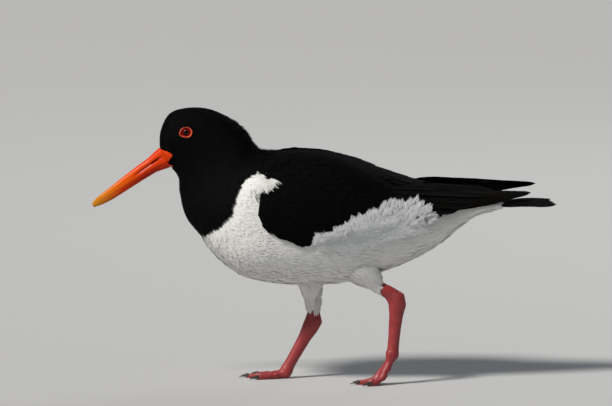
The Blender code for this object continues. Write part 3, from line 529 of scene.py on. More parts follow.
def add_quill(parts, number, total, side, root, tip, half_width, facing, bow, rng, shaft=0.0, frayed=0.03,
              pointed=0.0):
    """A long flight feather from root to tip, (x, z, distance from the middle plane) in millimetres."""
    t = np.linspace(0, 1, QUILL_ROWS) ** 0.9
    start = np.array((root[0], side * root[2], root[1])) * MM
    end = np.array((tip[0], side * tip[2], tip[1])) * MM
    centre = start + (end - start) * t[:, None]
    centre[:, 2] += bow * np.sin(math.pi * t) * MM
    normal = np.array((0.0, side * math.cos(facing), math.sin(facing)))
    way = unit(np.gradient(centre, axis=0))
    across = unit(np.cross(way, normal))
    outline = np.array(QUILL_OUTLINE)
    half = half_width * MM * np.interp(t, outline[:, 0], outline[:, 1]) * (1 - pointed * ease((t - 0.66) / 0.24))
    places = QUILL_PLACES
    notch = np.ones((QUILL_ROWS, len(places)))
    for edge in (0, -1):
        cuts = rng.random(QUILL_ROWS) < frayed * 1.2
        notch[cuts, edge] = rng.uniform(0.86, 0.95, cuts.sum())
        notch[:, edge] *= 1 + rng.normal(0, frayed * 0.5, QUILL_ROWS)
    offset = (places - shaft * (1 - places**2)) * notch * half[:, None]
    sink = 0.16 * places**2 * half[:, None] * (1 + 0.3 * np.sin(9 * t))[:, None]
    lifted = np.where(places == 0, 0.28 * MM * (1 - t[:, None]) + 0.08 * MM, 0.0) - sink
    points = centre[:, None] + across[:, None] * offset[..., None] + normal * lifted[..., None]
    normals = normal + across[:, None] * (places * 0.3)[:, None] + 0 * points
    strip = (number + 0.5) / total
    bake = np.empty((1, QUILL_ROWS * len(places), 2))
    grid = np.broadcast_to(places, (QUILL_ROWS, len(places)))
    bake[0, :, 0] = (0.02 + 0.96 * (strip + grid * 0.42 / total)).ravel()
    bake[0, :, 1] = (0.02 + 0.96 * np.broadcast_to(t[:, None], grid.shape)).ravel()
    grain = np.stack((((grid + 1) / 2).ravel(), np.broadcast_to(t[:, None], grid.shape).ravel()), -1)[None]
    tip_share = np.broadcast_to(t[:, None], grid.shape).reshape(1, -1)
    parts.add(points.reshape(1, -1, 3), normals.reshape(1, -1, 3),
              grid_triangles(QUILL_ROWS, len(places)), bake, grain,
              tone=np.full((1, 1), rng.random()), tip=tip_share)


# Materials.


def add_node(tree, kind, settings=None, **inputs):
    """A shader node with settings, and its inputs given by name as values or as sockets to link."""
    node = tree.nodes.new(kind)
    for key, value in (settings or {}).items():
        setattr(node, key, value)
    for key, value in inputs.items():
        socket = node.inputs[int(key[1:])] if key[0] == "_" else node.inputs[key.replace("_", " ")]
        if isinstance(value, bpy.types.NodeSocket):
            tree.links.new(value, socket)
        else:
            socket.default_value = value
    return node


def math_node(tree, operation, first, second=0.0, clamp=False):
    return add_node(tree, "ShaderNodeMath", {"operation": operation, "use_clamp": clamp},
                    _0=first, _1=second).outputs[0]


def mix_colours(tree, factor, first, second, blend="MIX"):
    node = add_node(tree, "ShaderNodeMix", {"data_type": "RGBA", "blend_type": blend},
                    _0=factor, _6=first, _7=second)
    return node.outputs[2]


def between(tree, value, low, high):
    """Value mapped from low and high to 0 and 1, smooth and clamped."""
    node = add_node(tree, "ShaderNodeMapRange", {"interpolation_type": "SMOOTHSTEP"},
                    Value=value, _1=low, _2=high)
    return node.outputs[0]


def attribute(tree, name):
    return add_node(tree, "ShaderNodeAttribute", {"attribute_name": name}).outputs["Fac"]


def effect_group(name, sockets_in, sockets_out):
    """A shader node group with named sockets, or the one that was made before."""
    found = bpy.data.node_groups.get(name)
    if found:
        return found, None, None
    group = bpy.data.node_groups.new(name, "ShaderNodeTree")
    for label, default in sockets_in.items():
        kind = "NodeSocketColor" if isinstance(default, tuple) else "NodeSocketFloat"
        socket = group.interface.new_socket(label, in_out="INPUT", socket_type=kind)
        socket.default_value = default
    for label, kind in sockets_out.items():
        group.interface.new_socket(label, in_out="OUTPUT", socket_type=kind)
    start, end = group.nodes.new("NodeGroupInput"), group.nodes.new("NodeGroupOutput")
    return group, start, end


def feather_grain():
    """Group: fine barbs slanting off a shaft, from the feather's own map; gives lines, shaft and fringe."""
    group, start, end = effect_group(
        "Feather Grain", {"Barbs": 60.0, "Slant": 14.0, "Fringe": 0.1},
        {"Lines": "NodeSocketFloat", "Shaft": "NodeSocketFloat", "Fringe": "NodeSocketFloat"})
    if start is None:
        return group
    place = add_node(group, "ShaderNodeUVMap", {"uv_map": "grain"}).outputs[0]
    parts = add_node(group, "ShaderNodeSeparateXYZ", _0=place)
    off = math_node(group, "ABSOLUTE", math_node(group, "SUBTRACT", parts.outputs[0], 0.5))
    run = math_node(group, "MULTIPLY", parts.outputs[1], start.outputs["Barbs"])
    slant = math_node(group, "MULTIPLY", off, start.outputs["Slant"])
    wave = math_node(group, "SINE", math_node(group, "MULTIPLY", math_node(group, "SUBTRACT", run, slant), 6.283))
    lines = math_node(group, "MULTIPLY_ADD", wave, 0.5)
    lines.node.inputs[2].default_value = 0.5
    shaft = between(group, off, 0.035, 0.0)
    outer = math_node(group, "SUBTRACT", 0.5, start.outputs["Fringe"])
    fringe = math_node(group, "DIVIDE", math_node(group, "SUBTRACT", off, outer), start.outputs["Fringe"], True)
    group.links.new(lines, end.inputs["Lines"])
    group.links.new(shaft, end.inputs["Shaft"])
    group.links.new(fringe, end.inputs["Fringe"])
    return group


def soft_mottle():
    """Group: uneven tone over a surface, as a value from 0 to 1, in two sizes."""
    group, start, end = effect_group("Soft Mottle", {"Size": 60.0, "Contrast": 1.0},
                                     {"Value": "NodeSocketFloat"})
    if start is None:
        return group
    place = add_node(group, "ShaderNodeTexCoord").outputs["Object"]
    broad = add_node(group, "ShaderNodeTexNoise", Vector=place, Scale=start.outputs["Size"], Detail=3.0)
    fine_size = math_node(group, "MULTIPLY", start.outputs["Size"], 5.0)
    fine = add_node(group, "ShaderNodeTexNoise", Vector=place, Scale=fine_size, Detail=2.0)
    both = math_node(group, "ADD", math_node(group, "MULTIPLY", broad.outputs[0], 0.65),
                     math_node(group, "MULTIPLY", fine.outputs[0], 0.35))
    spread = math_node(group, "MULTIPLY", math_node(group, "SUBTRACT", both, 0.5), start.outputs["Contrast"])
    group.links.new(math_node(group, "ADD", spread, 0.5, True), end.inputs["Value"])
    return group


def new_material(name, **shader):
    material = bpy.data.materials.new(name)
    material.use_nodes = True
    tree = material.node_tree
    principled = tree.nodes["Principled BSDF"]
    for key, value in shader.items():
        principled.inputs[key.replace("_", " ")].default_value = value
    return material, tree, principled


def use_group(tree, group, **inputs):
    node = tree.nodes.new("ShaderNodeGroup")
    node.node_tree = group
    for key, value in inputs.items():
        node.inputs[key].default_value = value
    return node


def rgba(colour):
    return tuple(colour)[:3] + (1.0,)


def plumage_material(name, base, light, tip_light, roughness, sheen, specular):
    """Body feathers: tone varies from tuft to tuft and over the bird, and blades lighten to their tips, which on the
    white feathers paints shade at the roots.
    """
    material, tree, shader = new_material(name, Roughness=roughness, Sheen_Weight=sheen,
                                          Specular_IOR_Level=specular, Sheen_Roughness=0.45)
    mottle = use_group(tree, soft_mottle(), Size=45.0, Contrast=1.6)
    tone = math_node(tree, "MULTIPLY", attribute(tree, "tone"), 0.6)
    tone = math_node(tree, "ADD", tone, math_node(tree, "MULTIPLY", mottle.outputs[0], 0.4), True)
    colour = mix_colours(tree, tone, rgba(base), rgba(light))
    # Blades are darker at the root and lighter at the tip: on the white coat this is painted shade under the feathers
    # over them.
    tips = between(tree, attribute(tree, "tip"), 0.35, 1.0)
    colour = mix_colours(tree, math_node(tree, "MULTIPLY", tips, 0.55), colour, rgba(tip_light))
    tree.links.new(colour, shader.inputs["Base Color"])
    return material


def vane_material(name, base, light, fringe, roughness, sheen, barbs):
    """Vaned feathers: barbs slant off the shaft, edges are paler, each feather has its own tone."""
    material, tree, shader = new_material(name, Roughness=roughness, Sheen_Weight=sheen,
                                          Specular_IOR_Level=0.03, Sheen_Roughness=0.5)
    grain = use_group(tree, feather_grain(), Barbs=barbs, Slant=barbs * 0.22, Fringe=0.16)
    mottle = use_group(tree, soft_mottle(), Size=70.0, Contrast=1.5)
    tone = math_node(tree, "MULTIPLY", attribute(tree, "tone"), 0.55)
    tone = math_node(tree, "ADD", tone, math_node(tree, "MULTIPLY", mottle.outputs[0], 0.45), True)
    colour = mix_colours(tree, tone, rgba(base), rgba(light))
    edge = math_node(tree, "MULTIPLY", grain.outputs["Fringe"], 0.6)
    colour = mix_colours(tree, edge, colour, rgba(fringe))
    colour = mix_colours(tree, math_node(tree, "MULTIPLY", grain.outputs["Lines"], 0.35), colour, rgba(base))
    tree.links.new(colour, shader.inputs["Base Color"])
    rough = math_node(tree, "ADD", math_node(tree, "MULTIPLY", grain.outputs["Lines"], 0.14), roughness - 0.07)
    tree.links.new(rough, shader.inputs["Roughness"])
    height = math_node(tree, "ADD", grain.outputs["Lines"], math_node(tree, "MULTIPLY", grain.outputs["Shaft"], 3.0))
    bump = add_node(tree, "ShaderNodeBump", Height=height, Strength=0.35, Distance=0.00025)
    tree.links.new(bump.outputs[0], shader.inputs["Normal"])
    return material, tree, shader, colour


def tail_material(name, dark, light, white):
    """Tail feathers: white for the first part, then a black band that ends in the tip."""
    material, tree, shader, colour = vane_material(name, dark, light, light, 0.6, 0.0, 90.0)
    place = add_node(tree, "ShaderNodeTexCoord").outputs["Object"]
    along = add_node(tree, "ShaderNodeSeparateXYZ", _0=place).outputs[0]
    wobble = add_node(tree, "ShaderNodeTexNoise", Vector=place, Scale=160.0).outputs[0]
    along = math_node(tree, "ADD", along, math_node(tree, "MULTIPLY", wobble, 0.006))
    dark_part = between(tree, along, 0.150, 0.157)
    tree.links.new(mix_colours(tree, dark_part, rgba(white), colour), shader.inputs["Base Color"])
    return material


def two_tone_material(name, dark, white, roughness):
    """Skin under the plumage, dark or white as the coat over it."""
    material, tree, shader = new_material(name, Roughness=roughness, Specular_IOR_Level=0.2)
    mottle = use_group(tree, soft_mottle(), Size=120.0, Contrast=1.2)
    colour = mix_colours(tree, attribute(tree, "dark"), rgba(white), rgba(dark))
    shade = mix_colours(tree, math_node(tree, "MULTIPLY", mottle.outputs[0], 0.3), colour, rgba(dark))
    tree.links.new(shade, shader.inputs["Base Color"])
    return material


def bill_material(name, colours):
    """Horn: red at the root through orange to amber at the tip, with fine streaks along it, and painted shade, dark
    red, in its grooves and along the mouth line.
    """
    material, tree, shader = new_material(name, Roughness=0.32, Specular_IOR_Level=0.09)
    ramp = add_node(tree, "ShaderNodeValToRGB", Fac=attribute(tree, "along"))
    stops = ramp.color_ramp.elements
    stops[0].color, stops[1].color = rgba(colours[0]), rgba(colours[3])
    stops.new(0.3).color = rgba(colours[1])
    stops.new(0.62).color = rgba(colours[2])
    place = add_node(tree, "ShaderNodeTexCoord").outputs["Object"]
    turned = add_node(tree, "ShaderNodeMapping", Vector=place, Rotation=(0.0, math.radians(33.7), 0.0),
                      Scale=(60.0, 900.0, 900.0)).outputs[0]
    streaks = add_node(tree, "ShaderNodeTexNoise", Vector=turned, Scale=1.0, Detail=3.0).outputs[0]
    # Painted shade: dark red in the grooves and along the mouth line.
    groove_shade_colour = mix_colours(tree, math_node(tree, "MULTIPLY", attribute(tree, "groove"), 0.85),
                       ramp.outputs[0], (0.24, 0.008, 0.003, 1.0))
    colour = mix_colours(tree, math_node(tree, "MULTIPLY", streaks, 0.3), groove_shade_colour, (0.62, 0.05, 0.004, 1.0))
    tree.links.new(colour, shader.inputs["Base Color"])
    tree.links.new(math_node(tree, "ADD", math_node(tree, "MULTIPLY", streaks, 0.2), 0.18),
                   shader.inputs["Roughness"])
    bump = add_node(tree, "ShaderNodeBump", Height=streaks, Strength=0.25, Distance=0.0003)
    tree.links.new(bump.outputs[0], shader.inputs["Normal"])
    return material


def eye_material(name, iris, pupil_radius):
    material, tree, shader = new_material(name, Roughness=0.02, Specular_IOR_Level=0.13)
    reach = attribute(tree, "from_axis")
    place = add_node(tree, "ShaderNodeTexCoord").outputs["Object"]
    fibres = add_node(tree, "ShaderNodeTexNoise", Vector=place, Scale=1400.0, Detail=2.0).outputs[0]
    inner = tuple(value * 0.35 for value in tuple(iris)[:3])
    colour = mix_colours(tree, between(tree, reach, pupil_radius, 3.6), rgba(inner), rgba(iris))
    colour = mix_colours(tree, math_node(tree, "MULTIPLY", fibres, 0.5), colour, rgba(inner))
    colour = mix_colours(tree, between(tree, reach, 3.7, 4.3), colour, (0.03, 0.004, 0.003, 1.0))
    colour = mix_colours(tree, between(tree, reach, pupil_radius - 0.12, pupil_radius + 0.12),
                         (0.001, 0.001, 0.001, 1.0), colour)
    tree.links.new(colour, shader.inputs["Base Color"])
    return material


def bare_skin_material(name, base, dark, light, roughness, scale, depth):
    """Scaly or granular bare skin, with darker seams between the grains, and painted shade in its creases."""
    material, tree, shader = new_material(name, Roughness=roughness, Coat_Weight=0.12, Coat_Roughness=0.25,
                                          Subsurface_Weight=0.08, Subsurface_Scale=0.002)
    place = add_node(tree, "ShaderNodeTexCoord").outputs["Object"]
    cells = add_node(tree, "ShaderNodeTexVoronoi", {"feature": "DISTANCE_TO_EDGE"}, Vector=place, Scale=scale,
                     Randomness=0.6)
    seams = between(tree, cells.outputs["Distance"], 0.0, 0.14)
    mottle = use_group(tree, soft_mottle(), Size=90.0, Contrast=2.0)
    colour = mix_colours(tree, mottle.outputs[0], rgba(base), rgba(light))
    colour = mix_colours(tree, math_node(tree, "MULTIPLY", attribute(tree, "crease_shade"), 0.6), colour, rgba(dark))
    colour = mix_colours(tree, math_node(tree, "MULTIPLY", math_node(tree, "SUBTRACT", 1.0, seams), 0.22),
                         colour, rgba(dark))
    tree.links.new(colour, shader.inputs["Base Color"])
    rough = math_node(tree, "ADD", math_node(tree, "MULTIPLY", mottle.outputs[0], 0.2), roughness - 0.1)
    tree.links.new(rough, shader.inputs["Roughness"])
    bump = add_node(tree, "ShaderNodeBump", Height=seams, Strength=0.6, Distance=depth)
    tree.links.new(bump.outputs[0], shader.inputs["Normal"])
    return material


def claw_material(name, dark, light):
    material, tree, shader = new_material(name, Roughness=0.38, Coat_Weight=0.2)
    place = add_node(tree, "ShaderNodeTexCoord").outputs["Object"]
    streaks = add_node(tree, "ShaderNodeTexNoise", Vector=place, Scale=700.0, Detail=3.0).outputs[0]
    tree.links.new(mix_colours(tree, streaks, rgba(dark), rgba(light)), shader.inputs["Base Color"])
    bump = add_node(tree, "ShaderNodeBump", Height=streaks, Strength=0.2, Distance=0.0002)
    tree.links.new(bump.outputs[0], shader.inputs["Normal"])
    return material


def floor_material(name, colour):
    material, tree, shader = new_material(name, Roughness=0.8, Specular_IOR_Level=0.2)
    mottle = use_group(tree, soft_mottle(), Size=14.0, Contrast=0.6)
    darker = tuple(value * 0.96 for value in tuple(colour)[:3])
    tree.links.new(mix_colours(tree, mottle.outputs[0], rgba(colour), rgba(darker)), shader.inputs["Base Color"])
    return material


# Skin.


def copy_of_solids(name, nodes, grow=0.0):
    """One object from merged copies of CAD nodes, each grown a little so that touching ones overlap."""
    deselect_all()
    copies = []
    for node in nodes:
        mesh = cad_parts[node].data.copy()
        mesh.materials.clear()
        copy = bpy.data.objects.new(name, mesh)
        bpy.context.scene.collection.objects.link(copy)
        pick(copy)
        bpy.ops.object.mode_set(mode="EDIT")
        bpy.ops.mesh.select_all(action="SELECT")
        bpy.ops.mesh.remove_doubles(threshold=0.00001)
        bpy.ops.object.mode_set(mode="OBJECT")
        if grow:
            move_to(copy, coordinates(copy) + normals_of(copy) * grow)
        copies.append(copy)
    deselect_all()
    for copy in copies:
        copy.select_set(True)
    bpy.context.view_layer.objects.active = copies[0]
    if len(copies) > 1:
        bpy.ops.object.join()
    made = bpy.context.view_layer.objects.active
    made.name = made.data.name = name
    return made


def remeshed(thing, voxel, smoothing, factor=0.6):
    """One closed skin round all that the object holds, smoothed."""
    pick(thing)
    modifier = thing.modifiers.new("one_skin", "REMESH")
    modifier.mode = "VOXEL"
    modifier.voxel_size = voxel
    bpy.ops.object.modifier_apply(modifier=modifier.name)
    modifier = thing.modifiers.new("soften", "SMOOTH")
    modifier.factor = factor
    modifier.iterations = smoothing
    bpy.ops.object.modifier_apply(modifier=modifier.name)
    bpy.ops.object.shade_smooth()
    return thing


def coat_depth(s):
    """Depth of the skin under the outline, in millimetres."""
    return np.interp(s, (0, 0.8, 3, 7, 19), (0.7, 1.1, 1.8, 3.0, 3.2))


def stations_of(points):
    """Station and turn of the outline nearest to each point."""
    s, turn = np.meshgrid(np.linspace(0, LAST_STATION, 153), np.linspace(-math.pi, math.pi, 121),
                          indexing="ij")
    s, turn = s.ravel(), turn.ravel()
    near = body(s, turn)
    tree = kdtree.KDTree(len(near))
    for number, point in enumerate(near):
        tree.insert(point, number)
    tree.balance()
    found = np.array([tree.find(point)[1] for point in points])
    return s[found], turn[found]


def tube_form(name, surface, last):
    """A closed form of the tube that surface gives from station 0 to the last."""
    rows, columns = 40, 48
    s, turn = np.meshgrid(np.linspace(0, last, rows), np.linspace(0, 2 * math.pi, columns, endpoint=False),
                          indexing="ij")
    points = surface(s.ravel(), turn.ravel())
    mesh = bpy.data.meshes.new(name)
    faces = [(r * columns + c, r * columns + (c + 1) % columns, (r + 1) * columns + (c + 1) % columns,
              (r + 1) * columns + c) for r in range(rows - 1) for c in range(columns)]
    faces.append(tuple(range(columns))[::-1])
    faces.append(tuple(range((rows - 1) * columns, rows * columns)))
    mesh.from_pydata([tuple(point) for point in points], [], faces)
    made = bpy.data.objects.new(mesh.name, mesh)
    bpy.context.scene.collection.objects.link(made)
    pick(made)
    bpy.ops.object.mode_set(mode="EDIT")
    bpy.ops.mesh.select_all(action="SELECT")
    bpy.ops.mesh.normals_make_consistent(inside=False)
    bpy.ops.object.mode_set(mode="OBJECT")
    return made


def make_skin(settings):
    """One skin under head, neck, trunk and thighs, inside their outline by the coat's depth."""
    trunk = ["head", "neck", "torso", "rump"]
    nodes = trunk + ["thigh_left", "thigh_right"]
    skin = copy_of_solids("plumage_skin", trunk, grow=0.25 * MM)
    thighs = [tube_form("thigh_form_" + side_name, thigh(THIGHS[side_name], side), LAST_THIGH)
              for side_name, side in SIDES.items()]
    pick(skin)
    for form in thighs:
        form.select_set(True)
    bpy.ops.object.join()
    remeshed(skin, 1.7 * MM, 8)
    points = coordinates(skin)
    s, turn = stations_of(points)
    low_leg = (points[:, 2] < 84 * MM) | ((points[:, 2] < 100 * MM) & (points[:, 0] > 30 * MM))
    depth = np.where(low_leg, 1.8, coat_depth(s) + hollow(s, turn)) * settings.depth
    move_to(skin, points - normals_of(skin) * (depth * MM)[:, None])
    THIGH_LIFT["table"] = measure_thigh_lift(skin)
    dark = ease(blackness(coordinates(skin)) / 3 + 0.5)
    back = (points[:, 2] > 176 * MM) & (points[:, 0] < 75 * MM)
    add_value(skin.data, "dark", np.where(back, 1.0, dark))
    skin.data.materials.append(two_tone_material("skin_under_plumage", settings.dark, settings.white, 0.75))
    finish_piece(skin, "black_feather", *nodes)


LIFT_STATIONS = np.linspace(8.0, 18.0, 101)
LIFT_TURNS = np.linspace(-math.pi, math.pi, 181)
MOST_LIFT = 12.0
DRAPED = 7.0 * MM


def measure_thigh_lift(skin):
    """How far the skin over the thighs stands out from the trunk's own, so that flank feathers drape over."""
    tree = BVHTree.FromPolygons([vertex.co for vertex in skin.data.vertices],
                                [tuple(polygon.vertices) for polygon in skin.data.polygons])
    s, turn = np.meshgrid(LIFT_STATIONS, LIFT_TURNS, indexing="ij")
    point, normal, _, _, _, _ = surface_frame(body, s.ravel(), turn.ravel())
    start = 16.0
    heights = np.full(len(point), MOST_LIFT)
    for number, (place, way) in enumerate(zip(point, normal)):
        hit = tree.ray_cast(Vector(place + way * start * MM), Vector(-way), 40 * MM)
        if hit[0] is not None:
            heights[number] = start - hit[3] / MM
    lifts = np.clip(heights.reshape(s.shape) + coat_depth(s) - 0.5, 0, MOST_LIFT)
    lifts[np.abs(turn) < 1.0] = 0
    lifts *= 1 - ease((s - np.where(turn < 0, 13.6, 12.3)) / 0.4) * ease((np.abs(turn) - 2.2) / 0.25)
    for _ in range(7):
        lifts[1:-1] = (lifts[:-2] + 2 * lifts[1:-1] + lifts[2:]) / 4
        lifts[:, 1:-1] = (lifts[:, :-2] + 2 * lifts[:, 1:-1] + lifts[:, 2:]) / 4
    return lifts


def thigh_lift(s, turn):
    """Lift of the trunk's feathers over the thighs, in metres."""
    row = np.clip((s - LIFT_STATIONS[0]) / (LIFT_STATIONS[1] - LIFT_STATIONS[0]), 0, len(LIFT_STATIONS) - 1.001)
    turn = np.arctan2(np.sin(turn), np.cos(turn))
    column = np.clip((turn + math.pi) / (LIFT_TURNS[1] - LIFT_TURNS[0]), 0, len(LIFT_TURNS) - 1.001)
    a, b = row.astype(int), column.astype(int)
    u, v = row - a, column - b
    table_of = THIGH_LIFT["table"]
    found = ((table_of[a, b] * (1 - v) + table_of[a, b + 1] * v) * (1 - u)
             + (table_of[a + 1, b] * (1 - v) + table_of[a + 1, b + 1] * v) * u)
    return (found - hollow(s, turn)) * MM


THIGH_LIFT = {}


# Bill's place on the face.

BILL_BASE, BILL_TIP = np.array((-139.6, 198.7)), np.array((-203.4, 156.2))
BILL_ALONG = (BILL_TIP - BILL_BASE) / np.linalg.norm(BILL_TIP - BILL_BASE)
BILL_UP = np.array((BILL_ALONG[1], -BILL_ALONG[0]))
BILL_LENGTH = 76.0
BILL_CULMEN = np.array(((-9, 10.4), (0, 10.4), (13, 8.2), (24, 7.8), (38, 6.9), (52, 5.6), (69, 4.4), (76, 2.4)))
BILL_GONYS = np.array(((-9, 8.8), (0, 8.8), (13, 5.8), (26, 5.2), (42, 4.9), (58, 4.6), (68, 3.4), (76, 1.2)))
BILL_WIDTH = np.array(((-9, 6.3), (0, 6.3), (8, 5.2), (20, 4.5), (35, 4.0), (50, 3.5), (65, 2.6), (76, 1.3)))
MOUTH_LINE = np.array(((-9, -4.4), (0, -4.2), (6, -2.9), (19, -1.5), (46, -1.1), (76, -0.6)))
UPPER_MARGIN = np.array(((-4.4, 2.6), (-3.6, 4.4), (-2.6, 7.2), (-1.7, 8.9), (-0.8, 8.9), (1.5, 7.9),
                         (3.75, 6.4), (6, 3.8), (8, 1.6), (9.6, 0.0)))
LOWER_MARGIN = np.array(((-9.9, 4.0), (-9.2, 5.0), (-8.4, 4.4), (-7.2, 2.4), (-6.4, 1.5), (-5.4, 1.7),
                         (-4.4, 2.6)))
FACE_LOW = OUTLINE[0][0:2] / MM - np.array((0.3, 0.2))
FACE_UP = (OUTLINE[0][2:4] - OUTLINE[0][0:2]) / MM
FACE_NORMAL = np.array((FACE_UP[1], -FACE_UP[0])) / np.linalg.norm(FACE_UP)


def table(rows, place):
    return np.interp(place, rows[:, 0], rows[:, 1])


def bare_face(points, margin):
    """True where the bill's bare lobes lie on the face, with a margin in millimetres."""
    off = points[:, (0, 2)] / MM - BILL_BASE
    lift = off @ BILL_UP
    to_face = ((FACE_LOW - BILL_BASE - BILL_UP * lift[:, None]) @ FACE_NORMAL) / (BILL_ALONG @ FACE_NORMAL)
    back = to_face - off @ BILL_ALONG
    reach = np.where(lift > UPPER_MARGIN[0, 0], table(UPPER_MARGIN, lift), table(LOWER_MARGIN, lift))
    return (back < reach + margin) & (lift > LOWER_MARGIN[0, 0] - 1) & (lift < UPPER_MARGIN[-1, 0] - margin)


# Coat.


def build_in_pieces(name, slot, material, roots, add, blades, *nodes):
    """Builds tufts at the roots as pieces of under 200,000 triangles each."""
    most = 190000 // (blades * len(FAN_TRIANGLES))
    count = len(roots[0])
    pieces = max(1, math.ceil(count / most))
    order = np.argsort(roots[0], kind="stable")
    for number, chosen in enumerate(np.array_split(order, pieces)):
        parts = Parts()
        add(parts, *(values[chosen] for values in roots))
        made = parts.build(name if pieces == 1 else "%s_%d" % (name, number + 1), material)
        finish_piece(made, slot, *nodes)


def feather_length(s):
    return np.interp(s, (0, 0.7, 2, 4, 6, 8, 10, 13, 19), (2.2, 3.2, 4.6, 6.0, 8.0, 10.0, 11.5, 12.5, 13.5))


def thickness_of_cover(settings, length):
    return settings.cover / (length**2 * 0.45)


EYE_CENTRE = (-119.4, 222.2, 14.2)
EYE_AXIS = (-0.12, 1.0, 0.05)
EYE_RADIUS = 5.2


def eye_place(side):
    x, z, out = EYE_CENTRE
    axis = Vector((EYE_AXIS[0], side * EYE_AXIS[1], EYE_AXIS[2])).normalized()
    return Matrix.Translation(Vector((x, side * out, z)) * MM) @ axis.to_track_quat("Z", "Y").to_matrix().to_4x4()


def clear_of_eyes(points, reach):
    """True where points lie outside a circle of that reach, in millimetres, round both eyes."""
    clear = np.ones(len(points), bool)
    for side in SIDES.values():
        inverse = np.array(eye_place(side).inverted())
        local = points @ inverse[:3, :3].T + inverse[:3, 3]
        oval = np.hypot(local[:, 0] / 1.06, local[:, 1] / 0.86)
        clear &= (oval > reach * MM) | (local[:, 2] < 0)
    return clear


def tip_place(s, turn, share=0.75):
    """Where most of a body feather shows: at that share of its length behind its root."""
    _, _, _, _, stretch_s, _ = surface_frame(body, s, turn)
    return body(s + share * feather_length(s) * MM / stretch_s, turn)


def clear_length(s, turn, length):
    """Length of face feathers, shortened so that none lies over the eye ring or the bill's lobes."""
    _, _, _, _, stretch_s, _ = surface_frame(body, s, turn)
    kept, free = np.zeros_like(s), np.ones(len(s), bool)
    for share in (0.0, 0.2, 0.35, 0.5, 0.65, 0.8, 0.9, 1.0):
        place = body(s + share * length * MM / stretch_s, turn)
        free &= clear_of_eyes(place, 5.8) & ~bare_face(place, 0.1)
        kept = np.where(free, share * length, kept)
    return kept


def under_wing(s, turn, margin):
    """True where the folded wing hides the body, by a margin in millimetres inside its edges."""
    angle = np.abs(turn)
    grow = margin / 48
    return ((s > WING_FRONT + margin / 20) & (s < WING_REAR - 0.2)
            & (angle < wing_edge(s) - grow) & (angle > WING_TOP + 0.05))


DARK_COVER = 0.8


def make_dark_coat(settings):
    """Black feathers of head, neck and shoulders: smallest round the bill, longer down the neck."""
    rng = np.random.default_rng(11)
    s, turn = scatter(body, (0.05, 12.6), (-math.pi, math.pi),
                      lambda s, turn: DARK_COVER * thickness_of_cover(settings, feather_length(s)), rng)
    keep = (blackness(tip_place(s, turn), rng, 1.3) > 0) & ~under_wing(s, turn, 9)
    keep &= (s < 8.8) | ((np.abs(turn) < 0.75) & (s < 10.4 + rng.normal(0, 0.4, len(s))))
    s, turn = s[keep], turn[keep]
    length = clear_length(s, turn, feather_length(s))
    keep = length > 0.8
    s, turn, length = s[keep], turn[keep], length[keep]
    material = plumage_material("black_plumage", settings.black, settings.black_light,
                                settings.black_tip, 0.7, 0.0, 0.045)

    def add(parts, s, turn, length):
        nape = ease((s - 4.3) / 1.2) * ease((8.2 - s) / 1.2) * ease(1.2 - np.abs(turn) / 0.9)
        nape = nape * np.where(rng.random(len(s)) < 0.25, 1.0, 0.2)
        edge = ease((s - 7.9) / 0.5) * ease((np.abs(turn) - 0.65) / 0.2)
        add_fans(parts, body, s, turn, rng, length * (1 + 0.25 * nape), 0.05 * feather_length(s), 9, 0.42,
                 coat_depth(s), 0.15 + 1.5 * nape + 3.2 * edge, lift=shoulder_lift,
                 ragged=0.2 + 0.1 * nape, relief=0.8)

    build_in_pieces("dark_feathers", "black_feather", material, (s, turn, length), add, 9)


def shoulder_lift(s, turn):
    """Neck feathers climb onto the roots of the back feathers."""
    over = (mantle_lift(s, turn) + 0.5 * MM) * ease((s - 7.9) / 0.9) * ease((0.95 - np.abs(turn)) / 0.25)
    return over - hollow(s, turn) * MM


def white_material(settings):
    found = bpy.data.materials.get("white_plumage")
    return found or plumage_material("white_plumage", settings.white, settings.white_light,
                                     settings.white_tip, 0.8, 0.1, 0.2)


UNDERTAIL_END = 158 * MM


def over_wing(s, turn):
    """1 where the top of the white spur lies over the wing's front, 0 elsewhere."""
    angle = np.abs(turn)
    return (ease((s - 8.3) / 0.4) * ease((9.6 - s) / 0.3) * ease((1.48 - angle) / 0.3)
            * ease((angle - 0.84) / 0.1))


def spur_end(turn):
    """The station up to which the spur's feathers are rooted."""
    return 9.02 - 2.3 * np.maximum(0, np.abs(turn) - 1.1)


def white_lift(s, turn):
    return np.maximum(thigh_lift(s, turn), (wing_lift(s, turn) + 0.9 * MM) * over_wing(s, turn))


